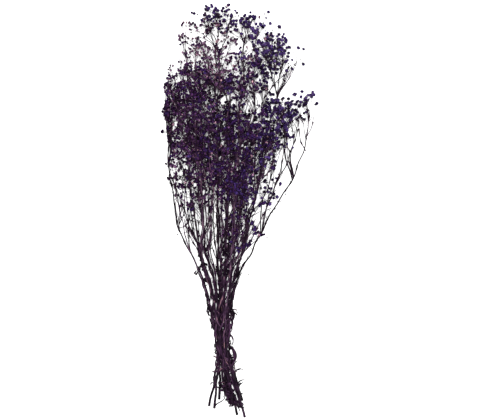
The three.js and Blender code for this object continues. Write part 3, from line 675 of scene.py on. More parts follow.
# Places where a few stems have dried to one side: the middle, the reach across and along the bunch, and
# how far they have moved
PULLS = [
    ((-47, -60), (12, 32), -7), ((16, -6), (9, 24), -5), ((-42, -236), (12, 42), 3.5),
    ((70, 254), (14, 16), -5),
]

# Slow waves in the dried stems: they are full so far from the waist, and there is no lift at the floor
SWAY = {"full": 45, "least": 0.12, "aside": 1.0, "quick": 0.45, "lift": 0.9, "settled": 18}

# The room that the solids take up, and the share of what runs beyond it that is taken back
ROOM = [(-109, 110), (-330, 305), (0, 98)]
TAKEN_BACK = 0.5
LOWEST_TWIG = 0.8

# Leaves: the small scales at the nodes, and the finer shape of the leaves that the solids have
BRACT = {
    "length": (3.5, 7.5), "tilt": (0.4, 1.0), "half_width": 0.95, "points": 4, "bend": 0.8, "fold": 0.5,
    "shape": (0.8, 1.0, 0.7, 0.12), "thickness": 0.14,
}
OWN_LEAF = {"half_width": 2.4, "fold": (0.3, 1.1)}
KINK = {"step": 1.7, "soften": 3}

# Long shrivelled leaves round the bundle. Each one's wave and its margin, the room between it and the
# stems, have so many turns, and a margin grows near the tip where the leaf stands off. Above "loosens" it
# keeps to its own stem.
WRAP = {
    "each": 10, "lowest": -246, "highest": -100, "above_cut": 12, "crowd": 1.2, "upward": 0.6,
    "beyond": (6, 12), "length": (20, 60), "half_width": (0.9, 2.5), "points": 14, "stray": 0.5,
    "drift": 0.6, "wave": (0.25, 4, 12), "margin": (0.6, 4.2), "bumps": (1.4, 5, 14),
    "stands_off": (-1.5, 2.2), "tip": (0.75, 5), "close": (0.3, 0.6), "loosens": -135, "over": 45,
    "rise": 0.2, "floor": 2.2, "fold": (0.3, 1.2),
}
LEAF_HEAP = {
    "length": (7, 17), "half_width": (1.2, 2.7), "turn": (2.5, 6), "tone": 0.45, "points": 12,
    "flat": (0.6, 1.0, 0.5), "fold": (0.2, 1.1), "floor": 2.5,
}

# Heaps of short crumpled leaves: the lowest and the highest corner of each, how far it leans along the
# bunch and how many leaves it has
HEAPS = [
    ((-25, -307, 2), (-8, -264, 27), -0.42, 48), ((-20, -240, 8), (-13, -196, 22), 0, 10),
    ((-56, -117, 22), (-47, -103, 36), 0, 14), ((-15, -120, 26), (-6, -100, 44), 0, 6),
    ((-63, -66, 30), (-56, -55, 48), 0, 6), ((-26, -42, 50), (4, -20, 66), 0, 9),
    ((-30, -124, 26), (-16, -60, 50), 0.1, 36), ((-64, -98, 26), (-54, -60, 46), 0.2, 12),
    ((-19, -306, 2), (-7, -290, 16), -0.5, 30), ((-26, -300, 20), (-18, -266, 30), -0.3, 16),
    ((-28, -112, 30), (-13, -44, 60), 0.08, 34),
]

# The elastic band: three loops side by side
BAND = {
    "turns": 3, "pitch": 1.8, "radius": 0.86, "gap": 0.3, "points": 80, "sides": 8, "sway": 0.12,
}

# Short dead twigs and small curled leaves all over the fan, between the waist and the heads
LITTER = {
    "twigs": 17, "leaves": 12, "lowest": -186, "highest": 40, "length": (10, 34), "tilt": (0.25, 0.9),
    "turn": (0.2, 1.2), "radius": (0.6, 0.32), "sides": 3, "points": 6, "inward": 0.7, "budding": 0.5,
    "bud_tone": (0.3, 0.55), "leaf": (5, 12), "half_width": (0.8, 1.4), "fold": 0.6, "thickness": 0.16,
    "left": -44, "least": 0.15,
}

# Tendrils that stand off the bundle: where each starts, the way it leaves, how far it turns and its length
HOOKS = [
    ((-13, -158, 20), (0.7, 0.7, 0.2), -1.6, 12), ((-41, -309, 17), (0.8, 0.5, -0.1), 0.5, 26),
    ((-39, -172, 18), (-0.9, -0.5, 0.1), 0.8, 8), ((-1, -288, 9), (0.9, 0.3, 0.1), -1.2, 7),
    ((-15, -180, 20), (0.9, 0.2, 0.1), 1.4, 8),
]
HOOK = {"radius": (1.25, 0.65), "points": 16, "sides": 5}

# Broad shrivelled leaves on top of the bundle and loops of them beside it: half the width, the tone and
# the joints
STRIPS = [
    (1.6, 0.6, [(-42, -149, 34), (-35, -174, 33), (-29, -182, 33), (-19, -170, 35)]),
    (1.1, 1.0, [(-25, -187, 32), (-25, -201, 32), (-24, -216, 31)]),
    (3.2, 0.35, [
        (-20, -210, 24), (-13, -216, 24), (-8, -224, 24), (-7, -233, 23), (-12, -242, 22),
        (-20, -250, 20),
    ]),
    (2.2, 0.2, [(-18, -222, 18), (-13, -230, 18), (-12, -238, 18), (-17, -250, 16)]),
    (1.0, 0.3, [(-32, -225, 20), (-38, -233, 20), (-39, -241, 20), (-37, -247, 19), (-31, -242, 18)]),
    (1.4, 0.4, [(-15, -193, 22), (-11, -201, 22), (-10, -207, 22), (-13, -211, 21)]),
    (1.2, 0.3, [(-17, -187, 24), (-13, -184, 24), (-11, -179, 24)]),
    (1.0, 0.3, [(-40, -160, 24), (-45, -168, 24), (-47, -176, 24)]),
    (1.3, 0.2, [(-29, -264, 14), (-34, -269, 14), (-32, -275, 13), (-28, -272, 12)]),
    (1.8, 0.6, [(-37, -176, 32), (-39, -193, 31), (-36, -211, 30), (-31, -225, 28)]),
    (1.8, 0.45, [(-17, -170, 33), (-16, -188, 32), (-18, -207, 31), (-25, -228, 29), (-26, -247, 26)]),
    (2.0, 0.25, [(-31, -188, 34), (-32, -205, 33), (-29, -222, 32), (-22, -238, 29), (-17, -256, 25)]),
    (1.5, 0.7, [(-28, -142, 36), (-24, -157, 35), (-26, -174, 34), (-32, -188, 33)]),
    (1.3, 0.95, [(-25, -229, 33), (-20, -232, 33), (-19, -236, 33)]),
    (2.2, 0.15, [(-23, -250, 28), (-17, -270, 27), (-11, -287, 25), (-3, -304, 22)]),
    (2.0, 0.3, [(-17, -256, 26), (-9, -275, 25), (-4, -289, 23), (0, -308, 20)]),
    (2.3, 0.15, [(-17, -278, 22), (-11, -294, 20), (-4, -306, 17), (0, -315, 15)]),
    (2.0, 0.1, [(-23, -272, 20), (-18, -286, 19), (-14, -300, 17)]),
]

# Rings of a floret, from its stalk to its middle: radius, height, the share of the radius and the height
# that the petals' five waves add, how ragged it is, and how far it is from calyx (0) to petal edge (1)
FLORET_SIDES, BUD_SIDES = 10, 5
FLORET_RINGS = np.array([
    (0.90, -0.1, 0.05, 0.0, 0.2, 0.0),
    (2.25, 1.3, 0.12, 0.4, 1.0, 0.8),
    (2.25, 3.2, -0.18, 0.7, 1.1, 1.0),
    (0.80, 4.5, 0.00, 0.0, 0.8, 0.7),
])
BUD_RINGS = np.array([
    (0.22, -0.3, 0, 0, 0.0, 0.0),
    (0.95, 0.9, 0, 0, 0.3, 0.1),
    (0.85, 1.9, 0, 0, 0.4, 0.4),
    (0.20, 2.8, 0, 0, 0.3, 0.9),
])

# How petals wave, crumple and lie: the number of waves, how far corners stray out and up, and how much a
# floret that has opened wide is flattened
PETAL = {"waves": 5, "out": 0.1, "up": 0.22, "lift": 0.5, "from": 0.3, "flattened": 0.45}
SPRAY_SEED = 500
BAND_SEED = 900


def across(ways):
    """Two directions across each way, so that the first, the second and the way are right-handed. They lean
    on whichever of X, Y and Z lies furthest from the way."""
    lean = np.eye(3)[np.abs(ways).argmin(-1)]
    right = unit(np.cross(ways, lean))
    return right, np.cross(ways, right)


def overshoot(points):
    """The part that is taken back of what a point lies beyond each side of ROOM."""
    low, high = np.array(ROOM, float).T
    return TAKEN_BACK * (np.maximum(points - high, 0) + np.minimum(points - low, 0))


def held_back(paths):
    """Short paths bent back where they run on beyond ROOM; their first points stay."""
    bent = paths - overshoot(paths) + overshoot(paths[:, :1])
    bent[..., 2] = np.maximum(bent[..., 2], LOWEST_TWIG)
    return bent


def dried(points):
    """Points drawn aside as in drying. The stems are pressed together a little above the waist, by a bell
    curve of the distance along the bunch, and pulled aside in a few places by bell curves too. Slow sine
    waves along the bunch, a few centimetres long, move x and z, but not z at the floor."""
    moved = points - overshoot(points)
    share = np.where(moved[..., 0] > PRESS["x"], PRESS["right"], PRESS["left"])
    press = share * np.exp(-(((moved[..., 1] - PRESS["y"]) / PRESS["reach"]) ** 2))
    moved[..., 0] += press * (PRESS["x"] - moved[..., 0])
    for middle, reach, aside in PULLS:
        away = (moved[..., 0] - middle[0]) / reach[0], (moved[..., 1] - middle[1]) / reach[1]
        moved[..., 0] += aside * np.exp(-away[0] ** 2 - away[1] ** 2)
    x, y, z = moved[..., 0].copy(), moved[..., 1], moved[..., 2].copy()
    much = np.clip(np.abs(y - WAIST["y"]) / SWAY["full"], SWAY["least"], 1)
    slow = SWAY["aside"] * np.sin(y / 13.7 + x / 8 + z / 6)
    moved[..., 0] += much * (slow + SWAY["quick"] * np.sin(y / 5.9 + z / 5 + 1.3))
    lift = SWAY["lift"] * np.sin(y / 11.3 + x / 9 + 2.1)
    moved[..., 2] += much * lift * np.clip(z / SWAY["settled"], 0, 1)
    return moved


def softened(line, step, soften):
    """Points every `step` along a line, each the mean of five places up to `soften` before and after it:
    corners turn into bends, and both ends stay. Returns the points and how far along each lies."""
    line = np.array(line)
    along = np.concatenate([[0], np.cumsum(length_of(np.diff(line, axis=0)))])
    s = np.linspace(0, along[-1], max(4, int(along[-1] / step) + 2))
    reach = np.minimum(soften, np.minimum(s, along[-1] - s))
    at = s[:, None] + reach[:, None] * np.linspace(-1, 1, 5)
    return np.stack([np.interp(at, along, line[:, k]).mean(1) for k in range(3)], -1), s


def trimmed(line, cut):
    """A line without its last `cut` millimetres."""
    line = np.array(line)
    along = np.concatenate([[0], np.cumsum(length_of(np.diff(line, axis=0)))])
    end = along[-1] - cut
    last = [np.interp(end, along, line[:, k]) for k in range(3)]
    return np.vstack([line[along < end - 0.5], last])


def swelling(path, nodes, much, reach):
    """How much thicker a stalk is near its nodes: 1 plus `much` times a bell curve of the distance."""
    if not len(nodes):
        return np.ones(len(path))
    gap = length_of(path[:, None] - np.array(nodes)[None]).min(1)
    return 1 + much * np.exp(-((gap / reach) ** 2))


class Surface:
    """One mesh in the making. Each corner has its place in millimetres and three things that materials read:
    its tone, how far it lies from root to edge, and its place in the pattern of its own piece."""

    def __init__(self):
        self.corners, self.tones, self.reaches, self.grains = [], [], [], []
        self.faces = []
        self.count = 0

    def add(self, rings, tone, reach, grain, closed=False):
        """Skins rings of corners, (pieces, rings, corners round, 3), with a four-sided face between each pair
        of neighbours. Either one face closes each end, or the last ring joins the first. Corners run
        anticlockwise seen from beyond the last ring."""
        pieces, count, sides = rings.shape[:3]
        first = self.count + np.arange(pieces)[:, None, None] * (count * sides)
        i = np.arange(count if closed else count - 1)[None, :, None]
        k = np.arange(sides)[None, None, :]
        near, far, after = i * sides, (i + 1) % count * sides, (k + 1) % sides
        quads = np.stack([near + k, near + after, far + after, far + k], -1) + first[..., None]
        self.faces.append(quads.reshape(-1, 4))
        if not closed:
            self.faces.append(first[:, 0] + np.arange(sides)[::-1])
            self.faces.append(first[:, 0] + (count - 1) * sides + np.arange(sides))
        self.corners.append(rings.reshape(-1, 3))
        self.tones.append(np.broadcast_to(tone, rings.shape[:3]).reshape(-1))
        self.reaches.append(np.broadcast_to(reach, rings.shape[:3]).reshape(-1))
        self.grains.append(np.broadcast_to(grain, rings.shape).reshape(-1, 3))
        self.count += pieces * count * sides


def shares_along(paths):
    """How far along its path each point lies, in millimetres and as a share."""
    steps = length_of(np.diff(paths, axis=1))
    along = np.concatenate([np.zeros((len(paths), 1)), np.cumsum(steps, axis=1)], 1)
    return along, along / along[:, -1:]


def add_tubes(surface, paths, radii, sides, tones, draw, closed=False):
    """Stalks along paths (pieces, points, 3): round each point, the radius times (cos a, sin a)."""
    ways = unit(np.gradient(paths, axis=1))
    if closed:
        ways = unit(np.roll(paths, -1, axis=1) - np.roll(paths, 1, axis=1))
    lean = np.abs(ways).max(1).argmin(-1)
    right = unit(np.cross(ways, np.eye(3)[lean][:, None]))
    up = np.cross(ways, right)
    a = np.arange(sides) * 2 * math.pi / sides
    spoke = right[:, :, None] * np.cos(a)[:, None] + up[:, :, None] * np.sin(a)[:, None]
    rings = paths[:, :, None] + radii[:, :, None, None] * spoke
    along, share = shares_along(paths)
    grain = np.zeros(rings.shape)
    grain[..., 0] = radii[:, :, None] * np.cos(a)
    grain[..., 1] = radii[:, :, None] * np.sin(a)
    grain[..., 2] = along[:, :, None] / 5
    grain += draw.uniform(0, 500, (len(paths), 1, 1, 1))
    surface.add(rings, np.asarray(tones)[:, None, None], share[:, :, None], grain, closed)


def add_blooms(surface, table, sides, at, ways, sizes, opening, tones, draw):
    """Florets or buds: each ring of the table, turned about the way that the bloom faces. The petals' waves
    are cos(5 a), and each corner strays a little, as crumpled paper does. The wider a floret has opened, the
    further out and the lower its petals lie."""
    count = len(at)
    right, up = across(ways)
    a = np.arange(sides) * 2 * math.pi / sides
    wave = np.cos(PETAL["waves"] * a)[None, None]
    radius, height, radial, rise, ragged, reach = (table[:, i][None, :, None] for i in range(6))
    stray = draw.normal(0, 1, (2, count, len(table), sides)) * ragged
    spread = 1 + (opening[:, None, None] - 1) * (reach > PETAL["from"])
    r = radius * (1 + radial * wave) * (1 + PETAL["out"] * stray[0]) * spread
    z = height + rise * wave * PETAL["lift"] + PETAL["up"] * stray[1]
    z = z + (1 - spread) * height * PETAL["flattened"]
    spin = a[None, None] + draw.uniform(0, 7, (count, 1, 1))
    local = np.stack([r * np.cos(spin), r * np.sin(spin), z], -1) * sizes[:, None, None, None]
    corners = at[:, None, None] + np.einsum("nrkc,ncd->nrkd", local, np.stack([right, up, ways], 1))
    grain = local + draw.uniform(0, 500, (count, 1, 1, 1))
    surface.add(corners, tones[:, None, None], reach, grain)


def add_blades(surface, paths, sides_of, half_widths, fold, tones, draw, thickness=0.25):
    """Leaves along midribs (pieces, points, 3). Each half of a blade rises from the midrib by the angle
    `fold`, and the under side lies one thickness below the upper."""
    ways = unit(np.gradient(paths, axis=1))
    side = unit(sides_of - ways * (sides_of * ways).sum(-1, keepdims=True))
    up = np.cross(ways, side)
    u = np.array([1, 0, -1, -1, 0, 1])
    over = np.array([1, 1, 1, -1, -1, -1]) * thickness / 2
    wide = half_widths[:, :, None] * u * np.cos(fold)[:, :, None]
    rise = half_widths[:, :, None] * np.abs(u) * np.sin(fold)[:, :, None] + over
    rings = paths[:, :, None] + wide[..., None] * side[:, :, None] + rise[..., None] * up[:, :, None]
    along, share = shares_along(paths)
    grain = np.stack(np.broadcast_arrays(half_widths[:, :, None] * u, over, along[:, :, None] / 6), -1)
    grain = grain + draw.uniform(0, 500, (len(paths), 1, 1, 1))
    surface.add(rings, np.asarray(tones)[:, None, None], share[:, :, None], grain)


def leaning(ways, tilt, turn):
    """Ways that leave each of `ways` by the angle `tilt`, turned round it by `turn`."""
    right, up = across(ways)
    aside = right * np.cos(turn)[:, None] + up * np.sin(turn)[:, None]
    return ways * np.cos(tilt)[:, None] + aside * np.sin(tilt)[:, None]


def arched(start, ways, towards, lengths, bend, points):
    """Short paths that leave along `ways` and bend towards `towards`: at share t they lie at
    start + length (t way + bend t^2 (towards - way) / 2). Returns them and the ways of their ends."""
    t = np.linspace(0, 1, points)[None, :, None]
    turn = bend * (towards - ways)
    paths = start[:, None] + lengths[:, None, None] * (t * ways[:, None] + t * t * turn[:, None] / 2)
    return paths, unit(ways + turn)


def curled(start, ways, normals, lengths, turns, points, draw):
    """Paths that turn from `ways` towards `normals` by `turns` in all, more and more on the way, with a slow
    wave of their own: each step adds length/points times (way cos b + normal sin b)."""
    t = np.linspace(0, 1, points)
    wave = 0.35 * np.sin(t * draw.uniform(4, 9, (len(start), 1)) + draw.uniform(0, 6, (len(start), 1)))
    b = (turns[:, None] * t**1.3 + wave)[..., None]
    heading = ways[:, None] * np.cos(b) + normals[:, None] * np.sin(b)
    steps = heading * (lengths / points)[:, None, None]
    steps[:, 0] = 0
    return start[:, None] + np.cumsum(steps, axis=1)


def leaf_shape(points, broadest=0.35):
    """Half the width of a leaf along it, as a share of its broadest: narrow at the root, pointed at the tip.
    At share t it is 0.1 + 0.9 sin(pi t^q)^0.8, and the power q puts the top at `broadest`."""
    t = np.linspace(0, 1, points)
    top = math.log(0.5) / math.log(broadest)
    return 0.1 + 0.9 * np.clip(np.sin(math.pi * t**top), 0, 1) ** 0.8


def is_within(line):
    """Whether a shoot stays above the floor and left of an edge that widens towards the crown."""
    edge = [SHOOT["right"] + SHOOT["widening"] * max(0, p[1] - SHOOT["from"]) for p in line]
    return all(p[2] > SHOOT["over"] and p[0] < x for p, x in zip(line, edge))


def add_shoots(spray, placed, draw):
    """Thin side shoots between the waist and the heads. Each leaves the main stem towards the middle of the
    bunch and soon runs beside it: at share t it is 1 - (1 - t)^2 of its way aside."""
    spray["shoots"] = []
    t = np.linspace(0, 1, SHOOT["points"])[:, None]
    last = spray["line"][-1][1]
    heights = np.linspace(SHOOT["lowest"], SHOOT["highest"], SHOOT["each"])
    for y in heights + draw.uniform(-SHOOT["astray"], SHOOT["astray"], SHOOT["each"]):
        reach = draw.uniform(*SHOOT["aside"])
        length = min(draw.uniform(*SHOOT["end"]), last - SHOOT["short_of"]) - y
        if length < SHOOT["shortest"]:
            continue
        stem = np.array([stem_at(spray["line"], y + length * share)[0] for share in t[:, 0]])
        right, up = across(unit(stem[-1:] - stem[:1]))
        inward = np.array([SHOOT["towards"][0] - stem[-1, 0], 0, SHOOT["towards"][1] - stem[-1, 2]])
        first = math.atan2(up[0] @ inward, right[0] @ inward) + draw.normal(0, SHOOT["stray"])
        for step in sorted(range(SHOOT["ways"]), key=lambda n: min(n, SHOOT["ways"] - n)):
            turn = first + step * 2 * math.pi / SHOOT["ways"]
            aside = right[0] * math.cos(turn) + up[0] * math.sin(turn)
            line = list(stem + aside * reach * (1 - (1 - t) ** 2))
            if is_within(line) and placed.is_clear(line[1:], SHOOT["radius"], spray["owner"]):
                placed.add(line, SHOOT["radius"], spray["owner"])
                dye = (min(spray["heads"][-1]["dye"][0], SHOOT["dye"][0]), SHOOT["dye"][1])
                shoot = {"points": line, "forks": line[2:8:2], "head": {"dye": dye}, "knots": 0}
                spray["shoots"].append(shoot)
                break


def add_branches(spray):
    """The fine branches that are placed one by one, each with its joints as knots."""
    last = spray["heads"][-1]
    for name, joints in BRANCHES:
        if name == spray["name"]:
            line = [np.array(p, float) for p in joints]
            branch = {"points": line, "forks": line[1:-1], "head": last, "knots": 0, "radii": BRANCH_RADII}
            spray["shoots"].append(branch)


def places_to_leave(spray):
    """Places along the solids' axes where finer ones can leave, and the ways that the axes run there."""
    hosts = [softened(axis["points"], AXIS["step"], AXIS["soften"])[0] for axis in spray["axes"]]
    ways = [unit(np.gradient(host, axis=0)) for host in hosts]
    return np.concatenate([h[:-2] for h in hosts]), np.concatenate([w[:-2] for w in ways])


def heads_to_fill(spray):
    """Each head and tuft of a spray, as many times as it gets a finer axis."""
    heads = list(zip(spray["heads"], EXTRA_AXES[spray["name"]]))
    for at, reach, dye, count in TUFTS.get(spray["name"], []):
        heads.append(({"at": at, "reach": reach, "dye": dye}, count))
    return [head for head, count in heads for _ in range(count)]


def roomiest_tip(head, tips, draw):
    """Of some random places in a head's ellipsoid, the one furthest from all tips so far. Height counts
    less, as the bunch is seen from above."""
    tries = EXTRA["tries"]
    ball = unit(draw.normal(0, 1, (tries, 3))) * draw.random((tries, 1)) ** (1 / 3)
    found = np.array(head["at"]) + ball * EXTRA["inside"] * head["reach"]
    found[:, 2] = np.maximum(found[:, 2], REST_HEIGHT + 1)
    gaps = length_of((found[:, None] - np.array(tips)) * [1, 1, EXTRA["flat"]]).min(1)
    return found[gaps.argmax()]


def add_extra_axes(spray, tips, draw):
    """Finer axes that fill the heads and tufts evenly. Of some random places to leave, each takes a near one
    that runs its way, and bends over from there: at share t it lies
    (1 - t)^2 root + 2 t (1 - t) knee + t^2 tip."""
    spray["extra"] = []
    t = np.linspace(0, 1, EXTRA["points"])[:, None]
    places, ways = places_to_leave(spray)
    for head in heads_to_fill(spray):
        tip = roomiest_tip(head, tips, draw)
        chosen = draw.integers(len(places), size=EXTRA["hosts"])
        span = length_of(tip - places[chosen])
        along = (unit(tip - places[chosen]) * ways[chosen]).sum(-1)
        cost = span * (EXTRA["stray"] - along) + np.where(span < EXTRA["shortest"], EXTRA["too_near"], 0)
        best = cost.argmin()
        root = places[chosen[best]]
        if cost[best] < EXTRA["too_near"]:
            knee = root + ways[chosen[best]] * span[best] * EXTRA["bend"]
            path = (1 - t) ** 2 * root + 2 * t * (1 - t) * knee + t * t * tip
            spray["extra"].append({"points": list(path), "forks": [root], "head": head})
            tips.append(tip)


def stem_nodes(path, along):
    """Where a main stem has its knots: about every internode along it."""
    count = int(along[-1] / STEM["internode"])
    shares = (np.arange(1, count + 1) - 0.35 * np.sin(np.arange(count) * 2.4)) / (count + 1)
    return np.stack([np.interp(shares * along[-1], along, path[:, k]) for k in range(3)], -1)


def looseness(tone):
    """How loose a head is, from 0 to 1: the fresher its colour, the longer its stalks and the wider its
    florets have opened."""
    return np.clip((tone - LOOSE["from"]) / (LOOSE["to"] - LOOSE["from"]), 0, 1)


def stalk_tones(tones, draw):
    """The tones of twigs and pedicels. Thinner stalks took less dye, and in faded heads it has worn off."""
    worn = np.clip((STALK_TONE["from"] - tones) / STALK_TONE["over"], 0, 1)
    return STALK_TONE["least"] + STALK_TONE["stray"] * draw.random(len(tones)) + STALK_TONE["worn"] * worn


def twig_roots(paths, draw):
    """Where the twigs leave: three from each tip, and pairs from knots further back, each pair turned a
    quarter from the last. `paths` is [(points, along, head, knots)]. Some are missing in the openings."""
    at, ways, turns, dyes = [], [], [], []
    for path, along, head, knots in paths:
        back, turn = 0.0, draw.uniform(0, 2 * math.pi)
        for knot in range(knots + 1):
            s = along[-1] - back
            place = np.array([np.interp(s, along, path[:, k]) for k in range(3)])
            before = np.array([np.interp(s - 2, along, path[:, k]) for k in range(3)])
            way = unit(place - before) if s > 2 else unit(path[-1] - path[0])
            count = 3 if knot == 0 else 2
            for n in range(count):
                if knot + n and draw.random() < SITES["drop"] * looseness(head["dye"][0]):
                    continue
                at.append(place)
                ways.append(way)
                turns.append(turn + n * 2 * math.pi / count + draw.normal(0, SITES["stray"]))
                dyes.append(head["dye"])
            back += draw.uniform(*SITES["gap"])
            turn += math.pi / 2
            if back > SITES["share"] * along[-1] or draw.random() < SITES["stop"]:
                break
    at = np.array(at)
    kept = np.ones(len(at), bool)
    for middle, reach, share in OPENINGS:
        kept &= (length_of((at[:, :2] - middle) / reach) > 1) | (draw.random(len(at)) > share)
    return at[kept], np.array(ways)[kept], np.array(turns)[kept], np.array(dyes)[kept]


def bloom_tones(dyes, stray, is_bud, draw):
    """The tones of blooms, round the one of their head. A few are faded flecks."""
    own = draw.normal(0, 1, len(dyes))
    tones = dyes[:, 0] + dyes[:, 1] * (TONE_STRAY["twig"] * stray + TONE_STRAY["own"] * own)
    fleck = draw.random(len(dyes)) < np.where(is_bud, FLECK["bud"], FLECK["floret"])
    return np.clip(np.where(fleck, draw.uniform(0, FLECK["palest"], len(dyes)), tones), 0, 1)


def bloom_sizes(loose, draw):
    """The sizes of blooms, as shares of the rings': the looser the head, the larger."""
    size = between(FLORET_SIZE["dense"], FLORET_SIZE["loose"], loose)
    stray = 1 + FLORET_SIZE["stray"] * draw.normal(0, 1, len(loose))
    return size * np.clip(stray, FLORET_SIZE["least"], FLORET_SIZE["most"])


def grow_blooms(stalks, blooms, at, ways, dyes, draw):
    """Three pedicels from the end of each twig, the middle one straight on, each with a floret or a bud."""
    count = len(at)
    stray = draw.normal(0, 1, count)
    turn = draw.uniform(0, 2 * math.pi, count)
    loose = looseness(dyes[:, 0])
    radii = np.linspace(*PEDICEL["radius"], PEDICEL["points"])
    thick = radii * between(LOOSE["thinner"], 1, loose)[:, None]
    for n in range(3):
        tilt = draw.uniform(*(PEDICEL["tilt"] if n else (0, PEDICEL["straight"])), count)
        out = leaning(ways, tilt, turn + n * math.pi + draw.normal(0, PEDICEL["stray"], count))
        lengths = draw.uniform(*PEDICEL["length"], count) * between(1, LOOSE["longer"], loose)
        stalk, ends = arched(at, out, ways, lengths, PEDICEL["bend"], PEDICEL["points"])
        stalk = held_back(stalk)
        is_bud = draw.random(count) < BUD_SHARE["side" if n else "middle"]
        tones = bloom_tones(dyes, stray, is_bud, draw)
        kept = (draw.random(count) > LOOSE["drop"] * loose) | (n == 0)
        size = bloom_sizes(loose, draw)
        tip = stalk[:, -1]
        tip[:, 2] = np.maximum(tip[:, 2], FLORET_SIZE["over"] * size)
        worn = stalk_tones(dyes[kept, 0], draw)
        add_tubes(stalks, stalk[kept], thick[kept], PEDICEL["sides"], worn, draw)
        opening = SPREAD["dull"] + SPREAD["fresh"] * tones + draw.normal(0, SPREAD["stray"], count)
        opening = np.clip(opening, SPREAD["least"], SPREAD["most"])
        opening[is_bud] = 1
        for table, sides, c in (
            (FLORET_RINGS, FLORET_SIDES, kept & ~is_bud),
            (BUD_RINGS, BUD_SIDES, kept & is_bud),
        ):
            add_blooms(blooms, table, sides, tip[c], ends[c], size[c], opening[c], tones[c], draw)


def add_bracts(leaves, at, ways, draw):
    """A pair of small pointed scales at each knot."""
    count = len(at)
    turn = draw.uniform(0, 7, count)
    for half in (0, math.pi):
        out = leaning(ways, draw.uniform(*BRACT["tilt"], count), turn + half)
        lengths = draw.uniform(*BRACT["length"], count)
        paths, _ = arched(at, out, ways, lengths, BRACT["bend"], BRACT["points"])
        side = np.broadcast_to(unit(np.cross(out, ways))[:, None], paths.shape)
        widths = np.broadcast_to(BRACT["half_width"] * np.array(BRACT["shape"]), paths.shape[:2])
        fold = np.full(paths.shape[:2], BRACT["fold"])
        add_blades(leaves, paths, side, widths, fold, draw.random(count), draw, BRACT["thickness"])


def add_own_leaves(leaves, spray, draw):
    """The finer shape of each leaf that the solids have."""
    for leaf in spray["leaves"]:
        path, _ = softened(leaf["line"], KINK["step"], KINK["soften"])
        path = dried(path)
        side = np.broadcast_to(leaf["across"], (1, *path.shape))
        widths = OWN_LEAF["half_width"] * leaf_shape(len(path))[None]
        fold = between(*OWN_LEAF["fold"], np.linspace(0, 1, len(path)))[None]
        add_blades(leaves, path[None], side, widths, fold, [draw.random()], draw)


def bundle_at(lines, y):
    """The middle of the main stems at some heights along the bunch, and how far they reach from it."""
    points = np.array([[stem_at(line, max(v, line[0][1] + 1))[0] for line in lines] for v in y])
    low, high = points.min(1), points.max(1)
    return (low + high) / 2, (high - low) / 2


def wrap_run(spray, t, draw):
    """The heights that a leaf of the wrap runs through, up or down the bundle."""
    low, high = max(WRAP["lowest"], spray["line"][0][1] + WRAP["above_cut"]), WRAP["highest"]
    start = low + (high - low) * draw.random() ** WRAP["crowd"]
    length = draw.uniform(*WRAP["length"]) * (1 if draw.random() < WRAP["upward"] else -1)
    return np.clip(start + length * t, low - WRAP["beyond"][0], high + WRAP["beyond"][1])


def wrap_shell(own, y, middle, reach, t, draw):
    """The ways out from the bundle, and a path on an oval shell a little outside its stems, which drifts
    round the bundle as it runs. `own` is the leaf's own stem at the same heights."""
    much, fewest, most = WRAP["wave"]
    first = own[0] - middle[0]
    turn = math.atan2(first[2] / reach[0, 2], first[0] / reach[0, 0])
    turn = turn + draw.normal(0, WRAP["stray"]) + draw.normal(0, WRAP["drift"]) * t
    turn = turn + much * np.sin(t * draw.uniform(fewest, most))
    much, fewest, most = WRAP["bumps"]
    margin = STEM_RADIUS + draw.uniform(*WRAP["margin"])
    margin = margin + much * np.sin(t * draw.uniform(fewest, most) + draw.uniform(0, 6))
    near_tip, much = WRAP["tip"]
    margin = margin + np.clip(t - near_tip, 0, 1) * much * max(0, draw.uniform(*WRAP["stands_off"]))
    out = np.stack([np.cos(turn), 0 * t, np.sin(turn)], -1)
    shell = middle + out * (reach * [1, 0, 1] + margin[:, None])
    shell[:, 1] = y
    near = own + out * (WRAP["close"][0] + WRAP["close"][1] * margin[:, None])
    return out, near + (shell - near) * np.clip((WRAP["loosens"] - y) / WRAP["over"], 0, 1)[:, None]


def add_wrap(leaves, spray, lines, draw):
    """Long shrivelled leaves pressed round the bundle. Each rises from its stem's knot to the shell by
    3 r^2 - 2 r^3 of the way, and twists as it runs on."""
    t = np.linspace(0, 1, WRAP["points"])
    rise = np.clip(t / WRAP["rise"], 0, 1)[:, None]
    for _ in range(WRAP["each"]):
        y = wrap_run(spray, t, draw)
        own = np.array([stem_at(spray["line"], v)[0] for v in y])
        out, shell = wrap_shell(own, y, *bundle_at(lines, y), t, draw)
        path = own + (shell - own) * rise * rise * (3 - 2 * rise)
        path[:, 2] = np.maximum(path[:, 2], WRAP["floor"])
        twist = draw.normal(0, 0.5) + draw.normal(0, 1.0) * t + 0.5 * np.sin(t * 7 + draw.uniform(0, 6))
        level = unit(np.cross(out, [0, 1, 0]))
        side = level * np.cos(twist)[:, None] + out * np.sin(twist)[:, None]
        widths = draw.uniform(*WRAP["half_width"]) * leaf_shape(WRAP["points"])
        fold = np.clip(draw.uniform(*WRAP["fold"]) + 0.4 * np.sin(t * 9), 0.1, 1.35)
        add_blades(leaves, dried(path)[None], side[None], widths[None], fold[None], [draw.random()], draw)


def litter_places(spray, count, draw):
    """Random places of the stem and its side shoots below the heads, and the ways that these run there."""
    hosts = [spray["line"]] + [s["points"] for s in spray["shoots"]]
    hosts = [host for host in hosts if host[0][1] + 6 < LITTER["highest"]]
    at, along = np.zeros((count, 3)), np.zeros((count, 3))
    for n in range(count):
        host = hosts[draw.integers(len(hosts))]
        low, high = max(LITTER["lowest"], host[0][1] + 2), min(LITTER["highest"], host[-1][1] - 2)
        at[n], along[n] = stem_at(host, draw.uniform(low, high))
    return dried(at), along


